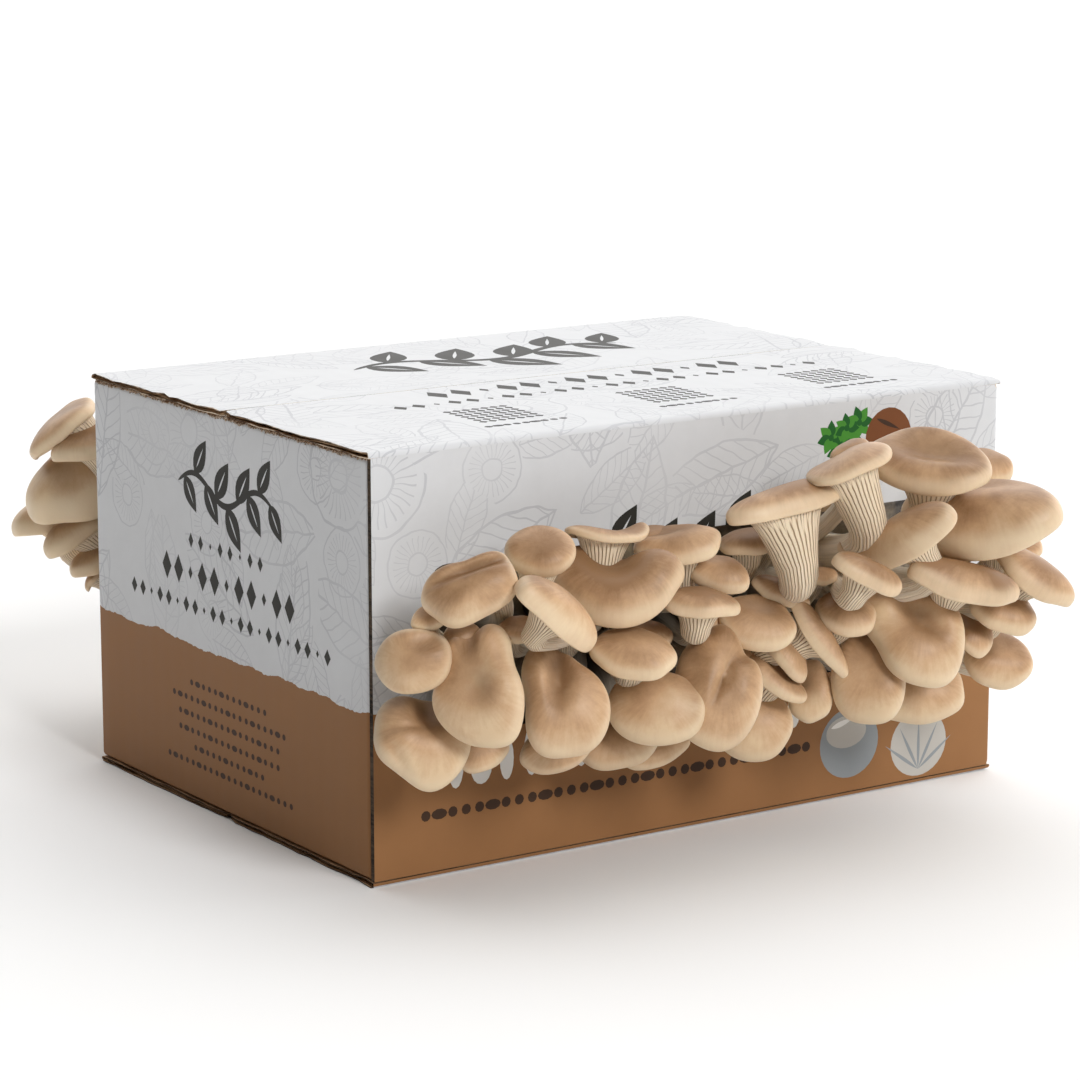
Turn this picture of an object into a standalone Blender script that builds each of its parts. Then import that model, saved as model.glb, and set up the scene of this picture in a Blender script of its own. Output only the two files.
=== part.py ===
"""Oyster mushroom grow kit: a carton round a grow block, with mushrooms growing out of both long sides.

Metres, +Z up. The origin is the middle of the carton's base, +X runs along its long side and -Y is its
front. Mushroom sizes are in millimetres, in the panel that they grow from: along it from its left end,
up from the base, and out from the board.
"""

import math
from dataclasses import dataclass, replace

import bmesh
import bpy
import numpy as np
from mathutils import Matrix, Vector

MM = 0.001

CARTON_LENGTH = 0.380
CARTON_DEPTH = 0.278
CARTON_HEIGHT = 0.209
BOARD = 0.003
GAP = 0.0003
FLAP_SEAM = 0.002
# The long bottom flaps meet this far behind the middle.
BOTTOM_SEAM_BACK = 0.004

# One window through each long side, its middle this far up.
WINDOW_LENGTH = 0.320
WINDOW_HEIGHT = 0.084
WINDOW_UP = 0.110
WINDOW_CORNER = 0.012

BLOCK_CLEARANCE = 0.004
BLOCK_HEADROOM = 0.006
BLOCK_ROUNDING = 0.012

# The feet of the stems copy the pattern of the caps, shrunk about a point of the panel so that they fit
# the window. They end just short of the grow block, in millimetres behind the board's outer face.
ROOT_MIDDLE = (190.0, 104.0)
ROOT_SHRINK = (0.74, 0.36)
ROOT_DEPTH = 6.5
# Share of the way that feet in one clump are drawn to their middle.
FOOT_PULL = 0.8

# Width of the rolled margin, as a share of the cap's half size.
MARGIN = 0.075
# The stem leaves the cap this much wider than its own radius, and narrows by the waist on its way down.
STEM_FLARE = 1.15
STEM_WAIST = 0.25

# Room cut round a mushroom that stands farther out, and the most that a sharp edge adds to it.
CUT_GAP = 0.0004
SWELL_LIMIT = 2.5

# Sides of the faceted caps, by their size across in millimetres.
CAP_SIDES = ((55.0, 10), (33.0, 8), (0.0, 7))


@dataclass(frozen=True)
class Mushroom:
    """One mushroom, with its cap, gills and stem grown as one.

    Attributes:
        name: Side of the carton and a number.
        at: Middle of the cap: along the panel, up from the base and out from the board.
        size: Across the cap, and along its growth away from the stem.
        pose: Degrees: tilt from level, turn of that tilt about +Z, spin of the cap about its own normal.
        crown: Height of the dome over the cap's mean size.
        dish: Depth of the hollow in the dome over the mean size.
        hollow: Middle of that hollow, across and along, in half sizes.
        fan: How much wider the cap gets along its growth.
        notch: Depth of the bay in the margin above the stem, in half sizes.
        stem_at: How far behind the middle the stem stands, in half sizes.
        curl: Droop of the far margin over the cap's length.
        arch: Droop of both side margins over the cap's width.
        lobes: Waves of the margin: their count, their share of the radius and a phase in degrees.
        stem: Radius of the stem.
        funnel: Depth of the gills below the margin over the mean size.
        root: Shift of the foot along and up the panel.
    """

    name: str
    at: tuple
    size: tuple
    pose: tuple
    crown: float = 0.26
    dish: float = 0.0
    hollow: tuple = (0.0, -0.3)
    fan: float = 0.15
    notch: float = 0.0
    stem_at: float = 0.5
    curl: float = 0.12
    arch: float = 0.0
    lobes: tuple = (0, 0.0, 0.0)
    stem: float = 6.5
    funnel: float = 0.30
    root: tuple = (0.0, 0.0)

    @property
    def mean(self):
        """Mean size of the cap."""
        return (self.size[0] + self.size[1]) / 2


FRONT = (
    Mushroom("front_01", (61, 163, 45), (32, 36), (35, -45, 115), stem_at=0.7, dish=0.05),
    Mushroom("front_02", (18, 153, 55), (38, 48), (40, -50, -80), dish=0.14, hollow=(0.1, -0.1), fan=0.0),
    Mushroom("front_03", (-3, 119, 42), (30, 36), (60, -60, -110)),
    Mushroom("front_04", (6, 80, 36), (43, 44), (55, -50, -30), dish=0.08, lobes=(3, 0.06, 60)),
    Mushroom("front_05", (21, 105, 60), (42, 52), (55, -40, -20), dish=0.1, fan=0.35, notch=0.1),
    Mushroom("front_06", (63, 99, 62), (42, 56), (52, -35, -20), dish=0.12, fan=0.25),
    Mushroom("front_07", (48, 141, 75), (56, 34), (42, 32, -50), stem_at=0.1, funnel=0.4, crown=0.3),
    Mushroom("front_08", (103, 144, 52), (62, 42), (32, -25, -30), dish=0.2, arch=-0.1),
    Mushroom("front_09", (103, 167, 42), (42, 30), (2, -10, -30), stem_at=0.1, funnel=0.55, crown=0.14),
    Mushroom("front_10", (98, 116, 68), (44, 34), (28, 5, -42), crown=0.22),
    Mushroom(
        "front_11", (140, 159, 48), (42, 30), (14, -60, -25),
        stem_at=0.1, funnel=0.5, crown=0.16, dish=0.1,
    ),
    Mushroom("front_12", (140, 133, 66), (40, 30), (6, 10, -36), stem_at=0.1, funnel=0.4, crown=0.2),
    Mushroom("front_13", (118, 84, 62), (44, 38), (48, -40, -25)),
    Mushroom("front_14", (153, 92, 66), (42, 60), (50, -30, -30), fan=0.2),
    Mushroom("front_15", (112, 64, 36), (40, 28), (45, -35, -20)),
    Mushroom("front_16", (159, 143, 56), (30, 22), (26, 0, -40)),
    Mushroom("front_17", (186, 153, 42), (27, 22), (12, -55, -25), crown=0.2),
    Mushroom("front_18", (208, 137, 30), (26, 26), (50, -20, 0), crown=0.12, dish=0.3, hollow=(0, 0)),
    Mushroom("front_19", (181, 118, 58), (38, 34), (30, -5, -35), dish=0.06, crown=0.2),
    Mushroom("front_21", (213, 106, 66), (40, 18), (55, 45, -64)),
    Mushroom("front_22", (229, 115, 66), (28, 24), (24, -15, -35)),
    Mushroom("front_23", (194, 87, 54), (38, 20), (32, 36, -53), crown=0.18),
    Mushroom("front_24", (189, 64, 44), (40, 38), (48, -30, -25)),
    Mushroom("front_25", (223, 75, 46), (22, 32), (50, -35, -25)),
    Mushroom("front_26", (247, 81, 62), (37, 46), (54, -35, -22), fan=0.25),
    Mushroom("front_27", (268, 99, 76), (42, 50), (48, -25, 10), dish=0.1, fan=0.2),
    Mushroom("front_28", (289, 64, 52), (46, 34), (48, -32, -20), root=(0, -8)),
    Mushroom(
        "front_29", (194, 172, 60), (62, 36), (20, -120, -8),
        stem_at=0.1, funnel=0.7, crown=0.2, stem=9,
    ),
    Mushroom(
        "front_30", (229, 192, 66), (48, 30), (28, -112, 6),
        stem_at=0.1, funnel=0.7, crown=0.2, stem=9,
    ),
    Mushroom(
        "front_31", (276, 187, 70), (60, 46), (17, -30, -28),
        stem_at=0.3, funnel=0.5, dish=0.12, crown=0.2, stem=9,
    ),
    Mushroom("front_32", (332, 176, 48), (24, 24), (24, -10, 0)),
    Mushroom("front_33", (307, 156, 80), (76, 50), (26, -75, -8), stem_at=0.3, crown=0.28),
    Mushroom("front_34", (251, 154, 84), (54, 30), (30, -95, 3), stem_at=0.2, crown=0.28),
    Mushroom("front_35", (219, 142, 92), (40, 26), (25, 42, -51), stem_at=0.1, funnel=0.5, crown=0.24),
    Mushroom("front_36", (281, 129, 90), (57, 36), (16, 15, -40), crown=0.24),
    Mushroom("front_37", (329, 126, 88), (42, 34), (25, 22, -48), crown=0.2),
    Mushroom("front_38", (318, 106, 78), (34, 28), (28, 0, -30)),
    Mushroom("front_40", (331, 79, 60), (35, 31), (42, -25, -20), root=(0, -6)),
)

BACK = (
    Mushroom("back_01", (359, 167, 80), (44, 48), (40, 44, 0), crown=0.17),
    Mushroom("back_02", (349, 157, 64), (44, 36), (12, 120, 0), crown=0.26),
    Mushroom("back_03", (347, 131, 80), (70, 56), (18, 128, 0), crown=0.32),
    Mushroom("back_04", (358, 112, 102), (38, 38), (14, 110, 0), crown=0.3),
    Mushroom("back_05", (354, 108, 76), (42, 38), (32, 68, 0), crown=0.28),
    Mushroom("back_06", (347, 94, 64), (34, 28), (16, 110, 0), crown=0.3),
    Mushroom("back_08", (60, 180, 60), (58, 46), (25, -30, -20), dish=0.08),
    Mushroom("back_09", (120, 186, 54), (46, 38), (18, 10, 0), stem_at=0.1, funnel=0.5),
    Mushroom("back_10", (180, 180, 64), (60, 48), (28, 15, 0), dish=0.1),
    Mushroom("back_11", (240, 187, 58), (48, 38), (20, -20, 0), stem_at=0.1, funnel=0.5),
    Mushroom("back_12", (298, 176, 64), (58, 46), (28, 15, 0), dish=0.08),
    Mushroom("back_13", (26, 144, 54), (54, 50), (42, -50, -20), dish=0.08),
    Mushroom("back_14", (92, 146, 78), (58, 46), (38, -20, 0)),
    Mushroom("back_15", (156, 142, 82), (54, 44), (35, 10, 0), dish=0.06),
    Mushroom("back_16", (222, 146, 84), (62, 50), (38, -10, 0), dish=0.1, hollow=(0.1, -0.1)),
    Mushroom("back_17", (284, 138, 88), (54, 44), (38, 10, 0)),
    Mushroom("back_18", (22, 102, 50), (50, 54), (56, -45, 0)),
    Mushroom("back_19", (78, 102, 76), (56, 60), (52, -20, 0), dish=0.1, fan=0.3),
    Mushroom("back_20", (140, 98, 80), (54, 56), (50, 0, 0), fan=0.25),
    Mushroom("back_21", (204, 100, 88), (60, 60), (48, 5, 0), dish=0.1, fan=0.25),
    Mushroom("back_22", (268, 96, 84), (54, 54), (50, 15, 0), fan=0.2),
    Mushroom("back_23", (312, 80, 66), (40, 38), (50, 30, 0)),
    Mushroom("back_24", (66, 64, 46), (46, 36), (48, -20, 0)),
    Mushroom("back_25", (126, 58, 52), (46, 36), (48, -5, 0)),
    Mushroom("back_26", (184, 60, 54), (44, 34), (45, 5, 0)),
    Mushroom("back_27", (242, 60, 52), (44, 34), (48, 20, 0)),
)




# Mushrooms that grew together at the stem are one piece.
CLUMPS = {
    "mushroom_front_clump_1": ("front_21", "front_25"),
    "mushroom_front_clump_2": ("front_38", "front_40"),
    "mushroom_front_clump_3": ("front_16", "front_17"),
    "mushroom_front_clump_4": ("front_23", "front_24"),
    "mushroom_back_clump_1": ("back_08", "back_09"),
    "mushroom_back_clump_2": ("back_10", "back_11", "back_12"),
    "mushroom_back_clump_3": ("back_13", "back_18"),
    "mushroom_back_clump_4": ("back_14", "back_15"),
    "mushroom_back_clump_5": ("back_16", "back_17"),
    "mushroom_back_clump_6": ("back_19", "back_20"),
    "mushroom_back_clump_7": ("back_21", "back_22"),
    "mushroom_back_clump_8": ("back_24", "back_25"),
    "mushroom_back_clump_9": ("back_26", "back_27"),
}


def clear_scene():
    """Remove every object that the scene starts with."""
    for found in list(bpy.data.objects):
        bpy.data.objects.remove(found, do_unlink=True)


def collection(name):
    """Add an empty collection to the scene."""
    made = bpy.data.collections.new(name)
    bpy.context.scene.collection.children.link(made)
    return made


def material(name, colour, roughness):
    """A plain material of a linear colour."""
    made = bpy.data.materials.new(name)
    made.use_nodes = True
    shader = made.node_tree.nodes["Principled BSDF"]
    shader.inputs["Base Color"].default_value = (*colour, 1.0)
    shader.inputs["Roughness"].default_value = roughness
    shader.inputs["Metallic"].default_value = 0.0
    made.diffuse_color = (*colour, 1.0)
    return made


def object_of(shape, name, look, group):
    """Turn a bmesh into a named object in a collection."""
    mesh = bpy.data.meshes.new(name)
    shape.to_mesh(mesh)
    shape.free()
    mesh.materials.append(look)
    made = bpy.data.objects.new(name, mesh)
    group.objects.link(made)
    return made


def box(low, high, pivot=(0.0, 0.0, 0.0)):
    """A box between two corners, with its origin at the pivot."""
    low, high, pivot = Vector(low), Vector(high), Vector(pivot)
    shape = bmesh.new()
    size = Matrix.Diagonal((high - low).to_4d())
    size[3][3] = 1.0
    middle = Matrix.Translation((low + high) / 2 - pivot)
    bmesh.ops.create_cube(shape, size=1.0, matrix=middle @ size)
    return shape


def boolean(target, cutter, operation):
    """Add a Boolean modifier, and hide the object that it uses."""
    modifier = target.modifiers.new(operation.title(), "BOOLEAN")
    modifier.object = cutter
    modifier.operation = operation
    modifier.solver = "EXACT"
    cutter.hide_render = True
    cutter.display_type = "WIRE"


def bake(target):
    """Apply an object's modifiers."""
    graph = bpy.context.evaluated_depsgraph_get()
    mesh = bpy.data.meshes.new_from_object(target.evaluated_get(graph))
    target.modifiers.clear()
    target.data = mesh


def islands(shape):
    """The connected sets of faces of a bmesh."""
    left = set(shape.faces)
    while left:
        edge = [left.pop()]
        island = list(edge)
        while edge:
            face = edge.pop()
            for joint in face.edges:
                for other in joint.link_faces:
                    if other in left:
                        left.remove(other)
                        edge.append(other)
                        island.append(other)
        yield island


def island_volume(island):
    """Volume inside a closed set of faces."""
    total = 0.0
    for face in island:
        first, *rest = [corner.vert.co for corner in face.loops]
        for second, third in zip(rest, rest[1:]):
            total += first.dot(second.cross(third)) / 6
    return total


def keep_largest(target):
    """Keep the largest body of a mesh that a cut has split."""
    shape = bmesh.new()
    shape.from_mesh(target.data)
    bodies = sorted(islands(shape), key=island_volume, reverse=True)
    for body in bodies[1:]:
        bmesh.ops.delete(shape, geom=body, context="FACES")
    shape.to_mesh(target.data)
    shape.free()


def add_carton(looks, group, cutters):
    """The carton: one sleeve with its two windows, four bottom flaps and four top flaps."""
    half_length = CARTON_LENGTH / 2
    half_depth = CARTON_DEPTH / 2
    top = CARTON_HEIGHT - BOARD
    sleeve = object_of(
        box((-half_length, -half_depth, BOARD + GAP), (half_length, half_depth, top - GAP)),
        "carton_sleeve",
        looks["board"],
        group,
    )
    inside = object_of(
        box(
            (-half_length + BOARD, -half_depth + BOARD, -BOARD),
            (half_length - BOARD, half_depth - BOARD, CARTON_HEIGHT + BOARD),
        ),
        "sleeve_inside",
        looks["board"],
        cutters,
    )
    window = object_of(
        box(
            (-WINDOW_LENGTH / 2, -CARTON_DEPTH, WINDOW_UP - WINDOW_HEIGHT / 2),
            (WINDOW_LENGTH / 2, CARTON_DEPTH, WINDOW_UP + WINDOW_HEIGHT / 2),
        ),
        "window_cutter",
        looks["board"],
        cutters,
    )
    round_corners(window)
    for cutter in (inside, window):
        boolean(sleeve, cutter, "DIFFERENCE")
    add_bottom_flaps(looks, group)
    add_top_flaps(looks, group)


def round_corners(window):
    """Round the four corners of the window cutter, seen from the front."""
    weights = window.data.attributes.new("bevel_weight_edge", "FLOAT", "EDGE")
    for edge in window.data.edges:
        ends = [window.data.vertices[index].co for index in edge.vertices]
        if abs(ends[0].y - ends[1].y) > CARTON_DEPTH:
            weights.data[edge.index].value = 1.0
    bevel = window.modifiers.new("Corners", "BEVEL")
    bevel.limit_method = "WEIGHT"
    bevel.width = WINDOW_CORNER
    bevel.segments = 3


def add_bottom_flaps(looks, group):
    """Two short flaps from the ends lie on two long ones that meet along the middle."""
    half_length = CARTON_LENGTH / 2
    half_depth = CARTON_DEPTH / 2
    for name, side in (("front", -1), ("back", 1)):
        seam = BOTTOM_SEAM_BACK + side * FLAP_SEAM / 2
        low_y, high_y = sorted((seam, side * half_depth))
        object_of(
            box((-half_length, low_y, 0.0), (half_length, high_y, BOARD)),
            f"bottom_flap_{name}",
            looks["board"],
            group,
        )
    reach = half_length - BOARD - GAP
    width = half_depth - BOARD - GAP
    low = BOARD + GAP
    for name, side in (("left", -1), ("right", 1)):
        low_x, high_x = sorted((side * reach, side * (reach - half_depth)))
        object_of(
            box((low_x, -width, low), (high_x, width, low + BOARD)),
            f"bottom_flap_{name}",
            looks["board"],
            group,
        )


def add_top_flaps(looks, group):
    """Two short flaps from the ends lie under two long ones, each hinged on its fold."""
    half_length = CARTON_LENGTH / 2
    half_depth = CARTON_DEPTH / 2
    fold_up = CARTON_HEIGHT - BOARD
    for name, side in (("front", -1), ("back", 1)):
        fold = (0.0, side * half_depth, fold_up)
        low_y, high_y = sorted((side * FLAP_SEAM / 2, side * half_depth))
        flap = object_of(
            box((-half_length, low_y, fold_up), (half_length, high_y, CARTON_HEIGHT), fold),
            f"top_flap_{name}",
            looks["board"],
            group,
        )
        flap.location = fold
    reach = half_length - BOARD - GAP
    width = half_depth - BOARD - GAP
    high = fold_up - GAP
    for name, side in (("left", -1), ("right", 1)):
        low_x, high_x = sorted((side * reach, side * (reach - half_depth)))
        object_of(
            box((low_x, -width, high - BOARD), (high_x, width, high)),
            f"top_flap_{name}",
            looks["board"],
            group,
        )


def add_block(looks, group):
    """The grow block in its bag, which nearly fills the carton."""
    length = CARTON_LENGTH / 2 - BOARD - BLOCK_CLEARANCE
    depth = CARTON_DEPTH / 2 - BOARD - BLOCK_CLEARANCE
    low = 2 * (BOARD + GAP)
    high = CARTON_HEIGHT - 2 * (BOARD + GAP) - BLOCK_HEADROOM
    block = object_of(
        box((-length, -depth, low), (length, depth, high)), "grow_block", looks["block"], group
    )
    bevel = block.modifiers.new("Soft edges", "BEVEL")
    bevel.width = BLOCK_ROUNDING
    bevel.segments = 2


def unit(vector):
    """The vector at length 1."""
    return vector / np.linalg.norm(vector)


def cap_axes(pose):
    """Across, growth and normal directions of a cap, as rows."""
    tilt, turn, spin = np.radians(pose)
    normal = np.array([np.sin(tilt) * np.sin(turn), -np.sin(tilt) * np.cos(turn), np.cos(tilt)])
    down_and_out = unit(np.array([0.0, -1.0, -1.0]))
    growth = unit(down_and_out - down_and_out.dot(normal) * normal)
    growth = np.cos(spin) * growth + np.sin(spin) * np.cross(normal, growth)
    return np.stack([np.cross(growth, normal), growth, normal])


def cap_outline(mushroom, angle):
    """The margin's points at the given angles, in half sizes."""
    count, share, phase = mushroom.lobes
    radius = 1 + share * np.cos(count * angle - np.radians(phase))
    from_stem = np.mod(angle + 1.5 * np.pi, 2 * np.pi) - np.pi
    radius = radius - mushroom.notch * np.exp(-((from_stem / np.radians(28)) ** 2))
    across, along = radius * np.cos(angle), radius * np.sin(angle)
    return across * (1 + mushroom.fan * along), along


def cap_bend(mushroom, across, along):
    """How far the cap's bends push a point along the normal, in millimetres."""
    middle_x, middle_y = mushroom.hollow
    hollow = np.exp(-(((across - middle_x) / 0.55) ** 2 + ((along - middle_y) / 0.5) ** 2))
    droop = mushroom.curl * mushroom.size[1] * np.clip(along, 0, 2) ** 2
    droop = droop + mushroom.arch * mushroom.size[0] * across**2
    return -mushroom.dish * mushroom.mean * hollow - droop


def cap_ring(mushroom, angle, share, height):
    """A ring of the cap at a share of its outline, raised by a height."""
    outline_x, outline_y = cap_outline(mushroom, angle)
    across, along = outline_x * share, outline_y * share
    lift = height + cap_bend(mushroom, across, along)
    half = np.array(mushroom.size) / 2
    return np.stack([across * half[0], along * half[1], lift], axis=-1)


def crown_ring(mushroom, angle, turn):
    """A ring of the domed top: turn is 0 at the middle and a right angle at the margin."""
    height = mushroom.crown * mushroom.mean * max(math.cos(turn), 0.0) ** 0.9
    return cap_ring(mushroom, angle, math.sin(turn) ** 0.88, height)


def neck_of(mushroom):
    """Where the gills end and the stem starts, in the cap's own axes."""
    return np.array([0.0, -mushroom.stem_at * mushroom.size[1] / 2, -mushroom.funnel * mushroom.mean])


def gill_ring(mushroom, angle, way):
    """A ring of the gills' trumpet: way is 0 at the margin and 1 at the stem."""
    inward = way**0.85
    ring = cap_ring(mushroom, angle, (1 - 2 * MARGIN) * (1 - inward), 0.0)
    neck = neck_of(mushroom)
    circle = np.stack([np.cos(angle), np.sin(angle)], axis=-1) * mushroom.stem * STEM_FLARE
    ring[:, :2] += inward * (circle + neck[:2])
    ring[:, 2] = (1 - inward) * ring[:, 2] + neck[2] * way**2
    return ring


def root_of(mushroom):
    """The foot of the stem, at the grow block, in the panel's axes."""
    along = ROOT_MIDDLE[0] + (mushroom.at[0] - ROOT_MIDDLE[0]) * ROOT_SHRINK[0] + mushroom.root[0]
    up = ROOT_MIDDLE[1] + (mushroom.at[1] - ROOT_MIDDLE[1]) * ROOT_SHRINK[1] + mushroom.root[1]
    return np.array([along, ROOT_DEPTH, up])


def stem_rings(mushroom, angle, ways, axes, middle):
    """Rings down the stem, which leaves the cap along its normal and meets the block square on."""
    start = middle + neck_of(mushroom) @ axes
    end = root_of(mushroom)
    reach = np.linalg.norm(end - start)
    first = start - axes[2] * reach * 0.35
    second = end + np.array([0.0, -1.0, 0.0]) * reach * 0.45
    side = axes[0]
    for way in ways:
        rest = 1 - way
        point = rest**3 * start + 3 * rest**2 * way * first + 3 * rest * way**2 * second + way**3 * end
        along = rest**2 * (first - start) + 2 * rest * way * (second - first) + way**2 * (end - second)
        tangent = unit(along)
        side = unit(side - side.dot(tangent) * tangent)
        radius = mushroom.stem * (STEM_FLARE - STEM_WAIST * math.sin(math.pi * min(way * 1.2, 1.0)))
        circle = np.outer(np.cos(angle), side) + np.outer(np.sin(angle), np.cross(side, tangent))
        yield point + radius * circle


def mushroom_rings(mushroom, columns):
    """The mushroom's skin from the crown to the foot, as rings of points in the panel's axes."""
    angle = np.arange(columns) * 2 * np.pi / columns
    cap = [crown_ring(mushroom, angle, turn) for turn in np.radians((48, 90))]
    cap.append(cap_ring(mushroom, angle, 1 - 2 * MARGIN, 0.0))
    cap += [gill_ring(mushroom, angle, way) for way in (0.55, 1.0)]
    axes = cap_axes(mushroom.pose)
    middle = np.array([mushroom.at[0], -mushroom.at[2], mushroom.at[1]])
    rings = [middle + ring @ axes for ring in cap]
    return rings + list(stem_rings(mushroom, angle, (0.5, 1.0), axes, middle))


def grown_together(mushrooms):
    """The same mushrooms with their feet drawn in, so that their stems join."""
    feet = np.array([root_of(mushroom) for mushroom in mushrooms])
    pulls = (feet.mean(axis=0) - feet) * FOOT_PULL
    return [
        replace(mushroom, root=(mushroom.root[0] + pull[0], mushroom.root[1] + pull[2]))
        for mushroom, pull in zip(mushrooms, pulls)
    ]


def panel_matrix(mushroom):
    """From the panel's millimetres to the kit's metres: the back panel is the front one turned about +Z."""
    out = Matrix.Translation((-CARTON_LENGTH / 2, -CARTON_DEPTH / 2, 0.0)) @ Matrix.Scale(MM, 4)
    turn = Matrix.Rotation(math.pi, 4, "Z") if mushroom.name.startswith("back") else Matrix()
    return turn @ out


def mushroom_shape(mushroom, swell=0.0):
    """A closed sphere of faces, pulled over the mushroom's skin and swollen by a distance."""
    columns = next(sides for size, sides in CAP_SIDES if mushroom.size[0] > size)
    rings = mushroom_rings(mushroom, columns)
    shape = bmesh.new()
    bmesh.ops.create_uvsphere(shape, u_segments=columns, v_segments=len(rings) + 1, radius=1.0)
    step = math.pi / (len(rings) + 1)
    for vert in shape.verts:
        ring = round(math.acos(max(-1.0, min(1.0, vert.co.z))) / step) - 1
        column = math.floor(math.atan2(vert.co.y, vert.co.x) / (2 * math.pi / columns)) % columns
        if ring < 0:
            vert.co = crown_middle(mushroom)
        elif ring == len(rings):
            vert.co = rings[-1].mean(axis=0)
        else:
            vert.co = rings[ring][column]
    shape.transform(panel_matrix(mushroom))
    bmesh.ops.triangulate(shape, faces=shape.faces, quad_method="FIXED")
    shape.normal_update()
    for vert in shape.verts:
        vert.co += vert.normal * swell * min(vert.calc_shell_factor(), SWELL_LIMIT)
    return shape


def crown_middle(mushroom):
    """The top of the crown, in the panel's axes."""
    ring = crown_ring(mushroom, np.zeros(1), 0.0)
    middle = np.array([mushroom.at[0], -mushroom.at[2], mushroom.at[1]])
    return middle + ring[0] @ cap_axes(mushroom.pose)


def bounds(solid):
    """The low and high corners of an object whose origin is the kit's."""
    points = np.array(solid.bound_box)
    return points.min(axis=0), points.max(axis=0)


def boxes_meet(first, second):
    """Whether two objects' boxes meet."""
    low_a, high_a = bounds(first)
    low_b, high_b = bounds(second)
    return bool((low_a <= high_b).all() and (low_b <= high_a).all())


def add_cluster(table, look, group, cutters):
    """One cluster. The mushroom that hangs farthest out is whole, and each deeper one is cut to clear it."""
    clump_of = {name: clump for clump, names in CLUMPS.items() for name in names}
    pieces = {}
    for mushroom in table:
        pieces.setdefault(clump_of.get(mushroom.name, f"mushroom_{mushroom.name}"), []).append(mushroom)
    order = sorted(pieces, key=lambda name: -max(mushroom.at[2] for mushroom in pieces[name]))
    placed = []
    for name in order:
        grown = grown_together(pieces[name])
        first, *rest = grown
        target = object_of(mushroom_shape(first), name, look, group)
        for mushroom in rest:
            helper = object_of(mushroom_shape(mushroom), f"{mushroom.name}_part", look, cutters)
            boolean(target, helper, "UNION")
        bake(target)
        for cutter in placed:
            if boxes_meet(target, cutter):
                boolean(target, cutter, "DIFFERENCE")
        bake(target)
        keep_largest(target)
        for mushroom in grown:
            room = object_of(mushroom_shape(mushroom, CUT_GAP), f"{mushroom.name}_room", look, cutters)
            room.hide_render = True
            room.display_type = "WIRE"
            placed.append(room)


def main():
    clear_scene()
    group = collection("Oyster mushroom grow kit")
    cutters = collection("Cutters")
    looks = {
        "board": material("printed board", (0.62, 0.63, 0.66), 0.7),
        "block": material("grow block", (0.80, 0.76, 0.66), 0.6),
        "mushroom": material("mushroom flesh", (0.58, 0.39, 0.22), 0.55),
    }
    add_carton(looks, group, cutters)
    add_block(looks, group)
    add_cluster(FRONT, looks["mushroom"], group, cutters)
    add_cluster(BACK, looks["mushroom"], group, cutters)


main()
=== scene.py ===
"""Oyster mushroom grow kit: a printed carton with clusters of mushrooms growing out of both long sides.

Sizes in the classes are in millimetres. A mushroom is placed in the panel that it grows from: along it from
its left end, up from the base and out from the board. Print is placed along a panel and up from the base.
"""

import logging
import math
from collections.abc import Callable, Iterable, Sequence
from dataclasses import dataclass, field, replace
from enum import Enum

import bpy
import numpy as np
from bpy.types import Material, Node, NodeSocket, Object, World
from mathutils import Matrix, Vector
from mathutils.geometry import delaunay_2d_cdt


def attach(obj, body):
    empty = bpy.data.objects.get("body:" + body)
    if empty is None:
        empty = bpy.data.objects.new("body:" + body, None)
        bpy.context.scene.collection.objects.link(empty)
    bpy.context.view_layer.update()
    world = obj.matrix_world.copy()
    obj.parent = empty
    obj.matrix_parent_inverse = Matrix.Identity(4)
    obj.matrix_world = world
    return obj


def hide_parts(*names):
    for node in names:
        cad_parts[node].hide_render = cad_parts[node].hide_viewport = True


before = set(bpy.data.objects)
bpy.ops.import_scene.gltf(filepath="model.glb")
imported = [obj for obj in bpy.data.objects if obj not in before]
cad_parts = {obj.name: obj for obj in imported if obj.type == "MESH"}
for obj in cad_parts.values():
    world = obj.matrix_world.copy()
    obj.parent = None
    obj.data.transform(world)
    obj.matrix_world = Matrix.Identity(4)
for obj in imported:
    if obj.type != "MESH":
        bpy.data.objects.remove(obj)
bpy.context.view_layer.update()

LOG = logging.getLogger("grow_kit")
Array = np.ndarray
Shapes = Sequence[tuple[Enum, Array]]
AddNode = Callable[..., Node]

MM = 0.001
TURN = 2 * np.pi

# The carton, its board, the gaps that its solids leave for folds, and the seams of its top and base.
CARTON_LENGTH = 380.0
CARTON_DEPTH = 278.0
CARTON_HEIGHT = 209.0
BOARD = 3.0
GAP = 0.3
FLAP_SEAM = 2.0
BOTTOM_SEAM_BACK = 4.0

# The windows: their size, the height of their middle and the radius of their corners.
WINDOW_LENGTH = 320.0
WINDOW_HEIGHT = 84.0
WINDOW_UP = 110.0
WINDOW_CORNER = 12.0

# B-flute board: one wave of its corrugated middle, the papers it is glued from, and its outer fold.
FLUTE_PITCH = 6.4
FLUTE_PAPER = 0.25
LINER = 0.5
FOLD_RADIUS = 2.7

# How much further the top's printed liners reach at the seam and at each side, so that no dark line shows.
SEAM_COVER = 0.75
SIDE_COVER = 0.8

# How far from a raw edge its crushing and tearing fade, and a chipped corner from its side and its end.
CRUSH_FADE = 7.0
TORN_FADE = 2.0
CHIP_FADES = (5.0, 8.0)

# Distances of the grid lines on the sleeve and the flaps, and up the flaps' liners.
BOARD_PITCH = 14.0
LINER_PITCH = 9.0

# Height on the carton up to which the print is brown, and how far the torn edge there swings.
BAND_UP = 84.0
BAND_SWING = 16.0

# Heights between which the folds over the end walls are scuffed. Noise lowers the first by up to 6 mm.
SCUFF_FROM = CARTON_HEIGHT - 1.6
SCUFF_TO = CARTON_HEIGHT - 2.2

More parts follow.
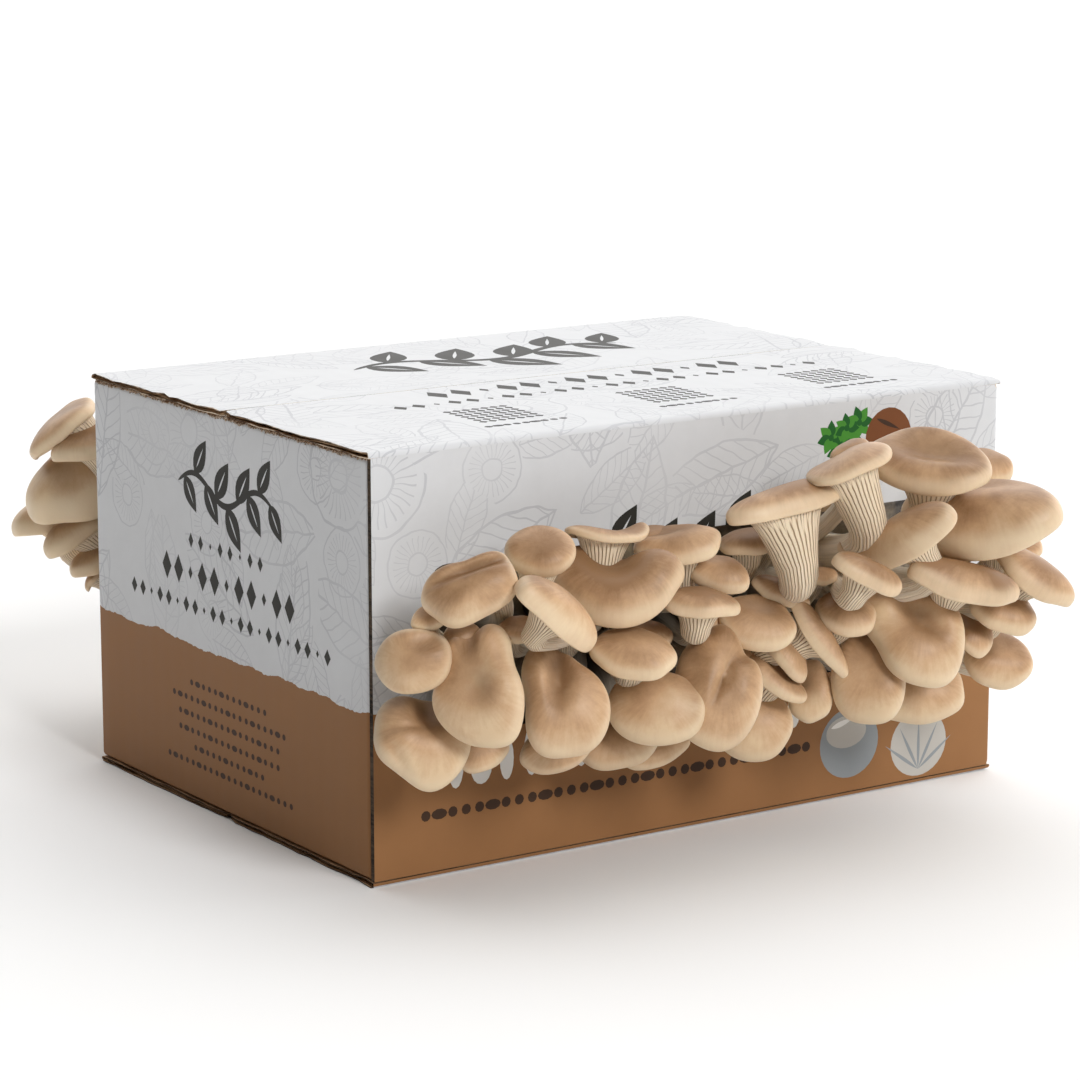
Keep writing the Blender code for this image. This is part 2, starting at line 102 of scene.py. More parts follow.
# The two layers of the line drawing: the size of a cell in millimetres, and its pattern's shift in cells.
CELL_SHIFTS = {64.0: (0.3, 0.7, 0.0), 41.0: (7.4, 3.1, 0.0)}

# The feet of the stems copy the pattern of the caps, shrunk about a point of the panel so that they fit
# the window, and end inside the grow block. Feet of one clump are pulled together.
ROOT_MIDDLE = (190.0, 104.0)
ROOT_SHRINK = (0.74, 0.36)
ROOT_DEPTH = 8.5
FOOT_PULL = 0.8

# A cap: the radius of its rolled margin over its half size, the depth of that roll over its radius, the
# droop of the far side over its length, and the swing of its slow waves over its mean size.
MARGIN = 0.075
ROLL_DEPTH = 0.85
MARGIN_DROOP = 0.12
UNEVEN = 0.012

# The dome's profile: powers of the sine for its share of the margin, and of the cosine for its height.
DOME_SHARE_POWER = 0.82
DOME_HEIGHT_POWER = 0.78

# A stem: its flare at the ends and how much thinner its waist is, over its radius, and how far it keeps to
# the panel's normal at its foot, as a share of its reach.
STEM_FLARE = 1.15
STEM_WAIST = 0.25
FOOT_PUSH = 0.45

# Pale margin, paler skin with a painted highlight along the rim: how far it fades onto the dome, its strength
# there, and its strength on the rolled margin.
RIM_FADE = 0.09
RIM_SHARE = 0.5
ROLL_SHARE = 0.65

# Distance from the board below which the mushrooms are darkened towards the grow block with painted shade.
PAINTED_SHADE_BELOW = 40.0


def linear(code: str) -> tuple[float, ...]:
    """Turn an sRGB hex colour into linear red, green, blue and alpha."""
    shares = [int(code[place : place + 2], 16) / 255 for place in (0, 2, 4)]
    return (*(s / 12.92 if s <= 0.04045 else ((s + 0.055) / 1.055) ** 2.4 for s in shares), 1.0)


class Recipe:
    """The nodes of a material or of the world while they are being put together."""

    def __init__(self, block: Material | World) -> None:
        """Start with no nodes.

        Args:
            block: Material or world that the nodes are for.
        """
        self.block = block
        block.use_nodes = True
        self.tree = block.node_tree
        self.tree.nodes.clear()

    def add(self, kind: str, *inputs: object, **named: object) -> Node:
        """Add a node with its settings and links. A node that is given for an input stands for its output.

        Args:
            kind: Node type without the prefix of all shader nodes, then a dot and its operation or data type.
            inputs: Value, socket or node for each input in use, in order.
            named: The same by the input's name, which has a capital, or a value of the node's own properties.

        Returns:
            The new node.
        """
        kind, _, mode = kind.partition(".")
        node = self.tree.nodes.new("ShaderNode" + kind)
        if mode:
            setattr(node, "data_type" if kind == "Mix" else "operation", mode)
        for name in [name for name in named if name.islower()]:
            setattr(node, name, named.pop(name))
        in_use = [socket for socket in node.inputs if socket.enabled]
        by_name = {socket.name.replace(" ", "_"): socket for socket in in_use}
        for socket, value in [*zip(in_use, inputs), *((by_name[name], named[name]) for name in named)]:
            if isinstance(value, Node):
                value = next(output for output in value.outputs if output.enabled)
            if isinstance(value, NodeSocket):
                self.tree.links.new(value, socket)
            else:
                socket.default_value = value
        return node


@dataclass(frozen=True)
class Finish:
    """Attributes:
        name: Name of its material.
    """

    name: str

    def shader(self, add: AddNode) -> Node:
        """The shader, which each finish has its own way of making.

        Args:
            add: Adds a node.

        Returns:
            The shader.
        """
        raise NotImplementedError

    def make(self) -> Material:
        """Make the material."""
        recipe = Recipe(bpy.data.materials.new(self.name))
        recipe.add("OutputMaterial", self.shader(recipe.add))
        return recipe.block


@dataclass(frozen=True)
class PrintedBoard(Finish):
    """Offset-printed, coated liner of corrugated board: flat, semi-matt colour with a faint washboard.

    Attributes:
        ink: Colour of the print, or none for the carton's own field, band and line drawing.
        field_colour: Colour of the field.
        band_colour: Colour of the band round the foot of the carton.
        line_colour: Colour of the line drawing.
        line_share: Half the width of a drawn line, in cells of the drawing.
        worn_colour: Brown paper under the print, where a fold is scuffed.
        torn_colour: The same where its fibres stand up.
        roughness: Middle of its roughness.
    """

    ink: str = ""
    field_colour: str = "D7D8DA"
    band_colour: str = "966B45"
    line_colour: str = "BFC0C4"
    line_share: float = 0.0105
    worn_colour: str = "8A6F57"
    torn_colour: str = "E3D3BF"
    roughness: float = 0.52

    def motifs(self, add: AddNode, sheet: Node, cell: float) -> Node:
        """Draw one layer of the line drawing: each Voronoi cell holds a turned leaf or a round, rayed flower.

        A leaf's edge is where the distance from its rib equals a parabola of the place along it. Cells cut
        the drawings as overlapping ones would.

        Args:
            add: Adds a node.
            sheet: Place on the sheet, in metres.
            cell: Size of a cell in millimetres.

        Returns:
            Node that is 1 on a line and 0 beside it.
        """
        cells = add("VectorMath.MULTIPLY_ADD", sheet, (1000 / cell, 1000 / cell, 1.0), CELL_SHIFTS[cell])
        tremble = add("TexNoise", cells, 5.0, 1.0).outputs["Color"]
        offset = add("VectorMath.SUBTRACT", tremble, (0.5, 0.5, 0.5))
        shaky = add("VectorMath.MULTIPLY_ADD", offset, (0.07, 0.07, 0.0), cells)
        found = add("TexVoronoi", Vector=shaky, Scale=1.0, Randomness=0.85, voronoi_dimensions="2D")
        local = add("VectorMath.SUBTRACT", shaky, found.outputs["Position"])
        turn, kind, _ = add("SeparateColor", found.outputs["Color"]).outputs
        angle = add("Math.MULTIPLY", turn, TURN)
        turned = add("VectorRotate", Vector=local, Angle=angle, rotation_type="Z_AXIS")
        along, across, _ = add("SeparateXYZ", turned).outputs
        aside = add("Math.ABSOLUTE", across)
        half_width = add("Math.MULTIPLY_ADD", add("Math.MULTIPLY", along, along), -0.62, 0.25)
        edge = add("Math.COMPARE", aside, half_width, self.line_share)
        inside = add("Math.LESS_THAN", aside, half_width)
        rib = add("Math.COMPARE", across, 0.0, self.line_share)
        slant = add("Math.MULTIPLY", add("Math.MULTIPLY_ADD", aside, -0.9, along), 8.0)
        veins = add("Math.COMPARE", add("Math.FRACT", slant), 0.5, 6 * self.line_share)
        leaf = add("Math.MAXIMUM", edge, add("Math.MULTIPLY", add("Math.MAXIMUM", rib, veins), inside))
        radius = add("VectorMath.LENGTH", local).outputs["Value"]
        rim = add("Math.COMPARE", radius, 0.4, self.line_share)
        eye = add("Math.COMPARE", radius, 0.13, self.line_share)
        rays = add("Math.MULTIPLY", add("Math.ARCTAN2", across, along), 26 / TURN)
        thin_ray = add("Math.COMPARE", add("Math.FRACT", rays), 0.5, 0.09)
        beyond_eye = add("Math.GREATER_THAN", radius, 0.13)
        band = add("Math.MULTIPLY", beyond_eye, add("Math.LESS_THAN", radius, 0.33))
        shown_ray = add("Math.MULTIPLY", thin_ray, band)
        flower = add("Math.MAXIMUM", add("Math.MAXIMUM", rim, eye), shown_ray)
        return add("Mix.FLOAT", add("Math.GREATER_THAN", kind, 0.78), leaf, flower)

    def colour(self, add: AddNode, sheet: Node) -> Node:
        """Colour of the field above, and of the brown band below its torn edge.

        Args:
            add: Adds a node.
            sheet: Place on the sheet, in metres.

        Returns:
            Node whose first output is the colour.
        """
        lines = add("Math.MAXIMUM", *(self.motifs(add, sheet, cell) for cell in CELL_SHIFTS))
        strength = add("MapRange", add("TexNoise", sheet, 14.0, 1.0), 0.3, 0.65, 0.3, 0.9)
        drawn = add("Math.MULTIPLY", lines, strength)
        upper = add("Mix.RGBA", drawn, linear(self.field_colour), linear(self.line_colour))
        height = add("SeparateXYZ", add("TexCoord").outputs["Object"]).outputs[2]
        swell = add("TexNoise", sheet, 22.0, 5.0, 0.62)
        edge = add("Math.MULTIPLY_ADD", swell, BAND_SWING * MM, (BAND_UP - BAND_SWING / 2) * MM)
        below = add("Math.LESS_THAN", height, edge)
        band = add("Math.MULTIPLY", below, add("Math.GREATER_THAN", height, 0.001))
        printed = add("Mix.RGBA", band, upper, linear(self.band_colour))
        # The folds over the end walls are scuffed down to the brown paper.
        nick = add("TexNoise", sheet, 330.0, 4.0, 0.7)
        above = add("Math.GREATER_THAN", height, add("Math.MULTIPLY_ADD", nick, -0.006, SCUFF_FROM * MM))
        at_fold = add("Math.MULTIPLY", above, add("Math.LESS_THAN", height, SCUFF_TO * MM))
        way = add("SeparateXYZ", add("NewGeometry").outputs["True Normal"]).outputs[0]
        on_end = add("Math.GREATER_THAN", add("Math.ABSOLUTE", way), 0.25)
        pale = add("MapRange", add("TexNoise", sheet, 900.0, 2.0), 0.45, 0.6)
        paper = add("Mix.RGBA", pale, linear(self.worn_colour), linear(self.torn_colour))
        return add("Mix.RGBA", add("Math.MULTIPLY", at_fold, on_end), printed, paper)

    def shader(self, add: AddNode) -> Node:
        """The print's colour under uneven ink, with the washboard.

        Args:
            add: Adds a node.

        Returns:
            The shader.
        """
        sheet = add("UVMap", uv_map="sheet")
        plain = add("RGB")
        plain.outputs[0].default_value = linear(self.ink or self.field_colour)
        colour = plain if self.ink else self.colour(add, sheet)
        # Uneven ink and dust: a few percent, in patches of some 20 mm and specks of 1 mm.
        patch = add("TexNoise", sheet, 45.0, 6.0, 0.7)
        shade = add("MapRange", patch, 0.3, 0.7, 0.965, 1.02)
        # The flutes telegraph through the liner as a washboard of the board's own pitch.
        waves_per_metre = 1000 / FLUTE_PITCH
        flutes = add("TexWave", sheet, waves_per_metre / 20 * 3.1416, 0.6, 1.0, bands_direction="X")
        rough = add("Math.MULTIPLY_ADD", add("TexNoise", sheet, 700.0, 3.0), 0.25, flutes)
        return add(
            "BsdfPrincipled",
            Base_Color=add("VectorMath.SCALE", colour, shade),
            Roughness=add("MapRange", patch, To_Min=self.roughness - 0.06, To_Max=self.roughness + 0.08),
            Specular_IOR_Level=0.14,
            Normal=add("Bump", Strength=0.12, Distance=0.0004, Height=rough),
        )


@dataclass(frozen=True)
class KraftPaper(Finish):
    """Unbleached kraft paper, as pressed: brown, matt and fibrous, seen inside the carton and on cut edges.

    Attributes:
        dark: Darkest colour of its fibres.
        light: Lightest colour of its fibres.
        grain: How often they repeat along each axis, over their repeat across them.
        spread: How softly dark turns to light.
        cloudy: Strength of the clouds beside the fibres.
        roughness: Its roughness.
    """

    dark: str = "86664A"
    light: str = "C4A27D"
    grain: tuple[float, float, float] = (1.0, 1.0, 0.25)
    spread: float = 0.3
    cloudy: float = 1.0
    roughness: float = 0.85

    def shader(self, add: AddNode) -> Node:
        """Streaks of fibre on soft clouds.

        Args:
            add: Adds a node.

        Returns:
            The shader.
        """
        where = add("TexCoord").outputs["Object"]
        # Fibres 3 to 4 mm long show as streaks, drawn a little coarser than real so that they can be seen.
        fibre = add("TexNoise", add("Mapping", where, Scale=self.grain), 900.0, 4.0, 0.65)
        cloud = add("TexNoise", where, 60.0, 3.0)
        weighed = add("MapRange", cloud, To_Min=0.5 - self.cloudy / 2, To_Max=0.5 + self.cloudy / 2)
        share = add("MapRange", add("Math.ADD", fibre, weighed), 1.0 - self.spread, 1.0 + self.spread)
        return add(
            "BsdfPrincipled",
            Base_Color=add("Mix.RGBA", share, linear(self.dark), linear(self.light)),
            Roughness=self.roughness,
            Specular_IOR_Level=0.2,
            Normal=add("Bump", Strength=0.35, Distance=0.0003, Height=fibre),
        )


@dataclass(frozen=True)
class MushroomFlesh(Finish):
    """Skin, gills and stem of a fresh oyster mushroom: satin tan skin, matt cream gills and stem.

    The piece carries what the colour follows: "flesh" holds, as red, green, blue and alpha, the share of
    skin, of the pale margin with its painted highlight, of the dark hollow with painted shade by its depth,
    and of painted shade deep in the cluster; "tone" holds how dark this mushroom grew, with painted shade
    where its skin faces up. The map "gills" counts half gills round the cap, and runs from -1 at the crown to
    0 at the margin, 1 at the neck and 2 at the foot.

    Attributes:
        name: Name of its material.
        skins: Lightest, middle and darkest skin.
        hollow: Skin in the hollows: darker skin, and painted shade where they are deep.
        margin: Pale flesh of the margin, which is partly a painted highlight.
        inside: Painted shade on flesh deep in the cluster, near the grow block.
        gills: Gills between their crests, darkened there as painted shade, and on their crests.
        stem: Skin of the stem.
    """

    name: str = "oyster mushroom flesh"
    skins: tuple[str, str, str] = ("DEC29D", "CAA47E", "97724F")
    hollow: str = "7C5B3C"
    margin: str = "ECD8B8"
    inside: str = "2B1E14"
    gills: tuple[str, str] = ("9C7D5B", "EBD8BC")
    stem: str = "EADBC5"

    def shader(self, add: AddNode) -> Node:
        """Blotched skin above, gills and stem below, by the shares that the piece carries.

        Args:
            add: Adds a node.

        Returns:
            The shader.
        """
        where = add("TexCoord").outputs["Object"]
        flesh = add("Attribute", attribute_name="flesh")
        tone = add("Attribute", attribute_name="tone").outputs["Fac"]
        on_top, on_margin, hollow_and_shade_share = add("SeparateColor", flesh.outputs["Color"]).outputs
        gill_map = add("UVMap", uv_map="gills")
        count, progress, _ = add("SeparateXYZ", gill_map).outputs
        # Blotches of some 15 mm, a fine mottle of 1 mm, and streaks of fibre that run to the margin.
        blotch = add("TexNoise", where, 55.0, 3.0, 0.5)
        mottle = add("TexNoise", where, 800.0, 3.0, 0.6)
        fibre = add("TexNoise", add("Mapping", gill_map, Scale=(0.9, 2.2, 1.0)), 1.0, 3.0, 0.6)
        outward = add("MapRange", progress, -0.9, 0.0, 0.0, 0.4)
        fine = add("Math.MULTIPLY_ADD", mottle, 0.14, add("Math.MULTIPLY_ADD", blotch, 0.95, tone))
        ramp = add("ValToRGB", add("Math.MULTIPLY_ADD", fibre, outward, fine))
        ramp.color_ramp.elements.new(0.5)
        for stop, place, code in zip(ramp.color_ramp.elements, (0.25, 0.55, 0.95), self.skins):
            stop.position = place
            stop.color = linear(code)
        # The hollows: darker skin, with painted shade where they are deep.
        hollow_and_shade = add("Mix.RGBA", hollow_and_shade_share, ramp, linear(self.hollow))
        skin = add("Mix.RGBA", on_margin, hollow_and_shade, linear(self.margin))
        # Long gills run onto the stem and end unevenly there, short ones stand between them near the margin.
        swayed = add("Math.MULTIPLY_ADD", add("TexNoise", where, 80.0, 2.0), 1.6, count)
        long = add("Math.PINGPONG", swayed, 1.0)
        both = add("Math.ABSOLUTE", add("Math.MULTIPLY_ADD", long, 2.0, -1.0))
        uneven = add("TexNoise", add("Mapping", gill_map, Scale=(0.45, 0.0, 1.0)), 1.0, 1.0)
        reach = add("Math.MULTIPLY_ADD", uneven, -0.9, progress)
        crest = add("Mix.FLOAT", add("MapRange", reach, -0.05, 0.15), both, long)
        on_stem = add("MapRange", reach, 0.6, 0.95)
        # Painted shade: the grooves between the gills are darker than their crests.
        light = add("MapRange", crest, 0.02, 0.42)
        under = add("Mix.RGBA", light, *(linear(code) for code in self.gills))
        vein = add("TexNoise", add("Mapping", gill_map, Scale=(0.7, 1.5, 1.0)), 1.2, 4.0)
        stem_shade = add("MapRange", vein, 0.3, 0.7, 0.8, 1.04)
        stem = add("VectorMath.SCALE", linear(self.stem)[:3], stem_shade)
        clean = add("Mix.RGBA", on_top, add("Mix.RGBA", on_stem, under, stem), skin)
        # Painted shade: flesh deep in the cluster darkens towards the inside colour.
        inside = add("Math.MULTIPLY", flesh.outputs["Alpha"], 0.93)
        bare = add("Math.SUBTRACT", 1.0, on_top)
        gill_share = add("Math.MULTIPLY", bare, add("Math.SUBTRACT", 1.0, on_stem))
        grain = add("Math.MULTIPLY_ADD", mottle, 0.1, add("Math.MULTIPLY", light, gill_share))
        height = add("Math.MULTIPLY_ADD", add("Math.MULTIPLY", vein, bare), 0.4, grain)
        return add(
            "BsdfPrincipled",
            Base_Color=add("Mix.RGBA", inside, clean, linear(self.inside)),
            Roughness=add("MapRange", on_top, To_Min=0.8, To_Max=0.46),
            Specular_IOR_Level=0.4,
            Subsurface_Weight=0.1,
            Subsurface_Radius=(1.0, 0.6, 0.35),
            Subsurface_Scale=0.003,
            Normal=add("Bump", Strength=0.8, Distance=0.0008, Height=height),
        )


@dataclass(frozen=True)
class GrowBag(Finish):
    """Blown polyethylene bag drawn tight over straw that mycelium has grown white: hazy, creased and glossy.

    Attributes:
        name: Name of its material.
        white: Straw that is overgrown, darkened with painted shade.
        straw: Straw that is still bare, darkened with painted shade.
    """

    name: str = "polyethylene bag over mycelium"
    white: str = "877860"
    straw: str = "3A2C1E"

    def shader(self, add: AddNode) -> Node:
        """Clouds of mycelium under a creased, glossy film.

        Args:
            add: Adds a node.

        Returns:
            The shader.
        """
        where = add("TexCoord").outputs["Object"]
        # Painted shade: both colours are darkened, as the bag lies in the dark behind the windows.
        share = add("MapRange", add("TexNoise", where, 45.0, 6.0, 0.65), 0.38, 0.62)
        crease = add("TexNoise", where, 90.0, 2.0, Distortion=1.5)
        return add(
            "BsdfPrincipled",
            Base_Color=add("Mix.RGBA", share, linear(self.white), linear(self.straw)),
            Roughness=0.38,
            Specular_IOR_Level=0.5,
            Coat_Weight=0.5,
            Coat_Roughness=0.18,
            Normal=add("Bump", Strength=0.5, Distance=0.003, Height=crease),
        )


class Ink(Enum):
    """Prints of the carton: the name and the colour of each. The field is the carton's own ground."""

    FIELD = ("printed board", "")
    DARK = ("printed board, dark grey ink", "34322E")
    UMBER = ("printed board, umber ink", "453226")
    WHITE = ("printed board, white ink", "EFEDE8")
    GREEN = ("printed board, leaf green ink", "4A8F35")
    DEEP_GREEN = ("printed board, deep green ink", "25602A")
    NUT = ("printed board, nut brown ink", "7B4B2D")
    PEBBLE = ("printed board, pebble grey ink", "92979A")
    PALE = ("printed board, pale grey ink", "BDB9B2")


# Numbers of the carton's materials: its prints, plain board, the raw edges of its top, and cut edges darkened
# with painted shade.
INKS = tuple(Ink)
KRAFT_SLOT = len(INKS)
RAW_SLOT = KRAFT_SLOT + 1
SHADED_EDGE_SLOT = KRAFT_SLOT + 2


def add_piece(
    name: str,
    points: Array,
    faces: list[Array],
    looks: list[Material],
    slots: Array | None = None,
    uv: tuple[str, Array] | None = None,
    smooth_below: float = math.pi,
) -> Object:
    """Make an object from arrays, with its place in its mesh.

    Args:
        name: Name of the piece.
        faces: Arrays of corner numbers, one row a face.
        looks: Materials of the piece.
        slots: Material number of each face.
        uv: Name of its map, and the place of every face corner on it.
        smooth_below: Edges that turn by less than this angle are smooth.

    Returns:
        The object.
    """
    mesh = bpy.data.meshes.new(name)
    mesh.from_pydata((points * MM).tolist(), [], [row for block in faces for row in block.tolist()])
    for look in looks:
        mesh.materials.append(look)
    if slots is not None:
        mesh.polygons.foreach_set("material_index", slots.astype(np.int32))
    if uv:
        mesh.uv_layers.new(name=uv[0]).uv.foreach_set("vector", uv[1].astype(np.float32).ravel())
    mesh.shade_smooth()
    if smooth_below < math.pi:
        mesh.set_sharp_from_angle(angle=smooth_below)
    piece = bpy.data.objects.new(name, mesh)
    bpy.context.scene.collection.objects.link(piece)
    return piece


def grid_faces(rows: int, columns: int, closed: bool = False) -> Array:
    """Quads over a grid of points.

    They face along the way to the next row, crossed with the way to the next column.

    Args:
        rows: Rows of points.
        columns: Points in a row.
        closed: Whether the last column joins the first.

    Returns:
        Corner numbers, four to a quad, row by row.
    """
    row, column = np.meshgrid(np.arange(rows - 1), np.arange(columns - (not closed)), indexing="ij")
    first, beside = row * columns + column, row * columns + (column + 1) % columns
    return np.stack([first, first + columns, beside + columns, beside], axis=-1).reshape(-1, 4)


def ripple(place: Array, seed: int, longest: float, shortest: float) -> Array:
    """Smooth noise along a line, about -1 to 1: the mean of six sines of random phase, scaled up.

    Args:
        place: Places along the line.
        seed: Number that picks the phases.
        longest: Longest wave.
        shortest: Shortest wave.

    Returns:
        Noise at each place.
    """
    random = np.random.default_rng(seed)
    waves = np.geomspace(longest, shortest, 6) * random.uniform(0.8, 1.2, 6)
    phases = random.uniform(0, TURN, 6)
    return np.mean(np.sin(place[..., None] * TURN / waves + phases), axis=-1) * 1.6


def leaf(left: float, up: float, length: float, width: float, degrees: float) -> Array:
    """Outline of a leaf: both sides are arcs of a sine, widest a little before the middle.

    Args:
        left: Place of the leaf's base along the panel.
        up: Its place up the panel.
        length: Length of the leaf.
        width: Its greatest width.
        degrees: Direction of its tip.

    Returns:
        Corners, counterclockwise.
    """
    way = np.linspace(0, 1, 9)
    side = np.sin(np.pi * way**0.8) * width / 2
    along = np.concatenate([way, way[-2:0:-1]]) * length
    aside = np.concatenate([-side, side[-2:0:-1]])
    cos, sin = math.cos(math.radians(degrees)), math.sin(math.radians(degrees))
    return np.stack([left + along * cos - aside * sin, up + along * sin + aside * cos], axis=-1)


def oval(left: float, up: float, width: float, height: float, corners: int = 12) -> Array:
    """Corners of an oval about a middle, counterclockwise."""
    angle = np.arange(corners) * TURN / corners
    return np.stack([left + np.cos(angle) * width / 2, up + np.sin(angle) * height / 2], axis=-1)


def garland(ink: Ink, left: float, up: float, length: float, leaves: int, leaf_length: float) -> Shapes:
    """A wavy twig, which is a stroke along a sine, with ribbed leaves to both sides in turn.

    Args:
        ink: Colour of the whole garland.
        left: Where it starts along the panel.
        up: Height of its middle.
        length: Its length.
        leaves: How many leaves it has.
        leaf_length: Length of its middle leaves.

    Returns:
        Its shapes.
    """
    swing = 0.24 * leaf_length
    way = np.linspace(0, 1, 41)
    wave = up + swing * np.sin(way * TURN * 1.5)
    thick = leaf_length * (0.06 * np.sin(np.pi * way) ** 0.3 + 0.01)
    forth = np.stack([left + way * length, wave - thick], axis=-1)
    back = np.stack([left + way * length, wave + thick], axis=-1)[::-1]
    shapes = [(ink, np.concatenate([forth, back]))]
    for number in range(leaves):
        share = (number + 0.6) / leaves
        side = 1 if number % 2 else -1
        height = up + swing * math.sin(share * TURN * 1.5)
        size = leaf_length * (1.0 - 0.35 * abs(share - 0.5))
        root = left + share * length
        shapes.append((ink, leaf(root, height, size, size * 0.52, side * 56)))
        rib = leaf(root + 0.1 * size, height + side * 0.15 * size, size * 0.58, size * 0.05, side * 56)
        shapes.append((Ink.FIELD, rib))
    return shapes


def lozenges(
    ink: Ink, left: float, up: float, count: int, pitch: float, size: tuple[float, float]
) -> Shapes:
    """A row of diamonds, every third of which is small.

    Args:
        ink: Colour of the row.
        left: Middle of the first diamond along the panel.
        up: Height of the row.
        count: How many diamonds it has.
        pitch: Distance between their middles.
        size: Width and height of a large diamond.

    Returns:
        Its shapes.
    """
    shapes = []
    for number in range(count):
        scale = 0.45 if number % 3 == 2 else 1.0
        shapes.append((ink, oval(left + number * pitch, up, size[0] * scale, size[1] * scale, 4)))
    return shapes


def beads(ink: Ink, middle: float, up: float, count: int, pitch: float, size: float) -> Shapes:
    """A row of dots about a middle, every fourth of which is drawn out into a dash.

    Args:
        ink: Colour of the row.
        middle: Its middle along the panel.
        up: Height of the row.
        count: How many dots it has.
        pitch: Distance between their middles.
        size: Width of a dot.

    Returns:
        Its shapes.
    """
    shapes = []
    for number in range(count):
        width = size * 1.7 if number % 4 == 1 else size
        shapes.append((ink, oval(middle + (number - (count - 1) / 2) * pitch, up, width, size, 10)))
    return shapes


def checks(ink: Ink, left: float, up: float, size: float) -> Shapes:
    """A square tile of small diamonds, seven by seven.

    Args:
        ink: Colour of the tile.
        left: Its middle along the panel.
        up: Its middle up the panel.
        size: Its width.

    Returns:
        Its shapes.
    """
    step = size / 7
    return [
        (ink, oval(left + (column - 3) * step, up + (row - 3) * step, step * 0.96, step * 0.96, 4))
        for row in range(7)
        for column in range(7)
    ]


def end_print() -> Shapes:
    """Print of a short side: a garland, three rows of diamonds, and rows of dots on the brown band."""
    shapes = garland(Ink.DARK, 92, 167, 96, 9, 25)
    shapes += lozenges(Ink.DARK, 104, 138, 8, 10, (5, 8))
    shapes += lozenges(Ink.DARK, 78, 121, 11, 12.4, (9.5, 15))
    shapes += lozenges(Ink.DARK, 42, 104, 22, 9.3, (6, 8.5))
    for row, count in enumerate((13, 19, 17, 17, 12, 21)):
        shapes += beads(Ink.UMBER, 139, 64 - 8.4 * row, count, 6.2, 3.2)
    return shapes


def long_print() -> Shapes:
    """Print of a long side: a garland above, pips and dots on the band, tufts, a nut and pebbles."""
    shapes = garland(Ink.DARK, 118, 140, 104, 9, 29)
    for number in range(15):
        wide, high = ((9, 25), (12, 17), (8, 21))[number % 3]
        shapes.append((Ink.WHITE, oval(46 + 14.5 * number, 42 + high / 2, wide, high, 16)))
    shapes += beads(Ink.UMBER, 143, 31, 31, 7.6, 5.3)
    for place, height, size in ((270, 189, 9), (275, 182, 8), (282, 186, 9), (288, 195, 9), (280, 193, 8)):
        for number in range(7):
            ink = Ink.DEEP_GREEN if number % 2 else Ink.GREEN
            shapes.append((ink, leaf(place, height, size, size * 0.62, 25 + number * 51.4 + place)))
        shapes.append((Ink.DEEP_GREEN, oval(place, height, 3.4, 3.4)))
    shapes.append((Ink.NUT, oval(307, 185, 30, 32, 24)))
    shapes.append((Ink.UMBER, leaf(299, 196, 17, 2.4, -24)))
    shapes.append((Ink.PEBBLE, oval(285, 29, 38, 37, 32)))
    shapes.append((Ink.PALE, oval(283, 35, 26, 17, 24)))
    shapes.append((Ink.WHITE, leaf(273, 38, 15, 3.0, 14)))
    shapes.append((Ink.PALE, oval(331, 22, 37, 35, 32)))
    for degrees in (35, 62, 90, 118, 145):
        shapes.append((Ink.PEBBLE, leaf(331, 8, 27, 1.9, degrees)))
    return shapes


@dataclass(frozen=True)
class Sheet:
    """A flat sheet of board before it is folded, cut into triangles round what is printed on it.

    Attributes:
        columns: Places of its grid lines along the sheet.
        rows: Places of its grid lines up the sheet.
        creases: Columns that stay whole edges, because the sheet bends there.
        prints: Printed shapes, each over the ones before it.
        holes: Outlines that are cut out.
    """

    columns: Array
    rows: Array
    creases: Iterable[float] = ()
    prints: Shapes = ()
    holes: tuple[Array, ...] = ()

    def cut(self) -> tuple[Array, Array, Array]:
        """Triangulate the sheet by a constrained Delaunay cut.

        Returns:
            Corners along and up the sheet, triangles seen from the printed side, and each one's ink number.
        """
        along, up = np.meshgrid(self.columns, self.rows, indexing="ij")
        wide, high = along.shape
        corners = [*np.stack([along.ravel(), up.ravel()], axis=-1)]
        creased = (int(np.argmin(np.abs(self.columns - place))) for place in self.creases)
        edges = [(column * high, column * high + high - 1) for column in (0, wide - 1, *creased)]
        edges += [(row, (wide - 1) * high + row) for row in (0, high - 1)]
        outlines = []
        for outline in (*self.holes, *(shape for _, shape in self.prints)):
            outlines.append(list(range(len(corners), len(corners) + len(outline))))
            corners += [*outline]
        cut = delaunay_2d_cdt([Vector(corner) for corner in corners], edges, outlines, 0, 1e-4)
        triangles = np.array([list(face) for face in cut[2]])
        owner = np.array([max(found, default=-1) for found in cut[5]])
        kept = np.array([min(found, default=len(outlines)) >= len(self.holes) for found in cut[5]])
        table = np.array([0] * (len(self.holes) + 1) + [INKS.index(ink) for ink, _ in self.prints])
        used, renumbered = np.unique(triangles[kept], return_inverse=True)
        points = np.array([corner[:] for corner in cut[0]])[used]
        return points, renumbered.reshape(-1, 3), table[owner + 1][kept]


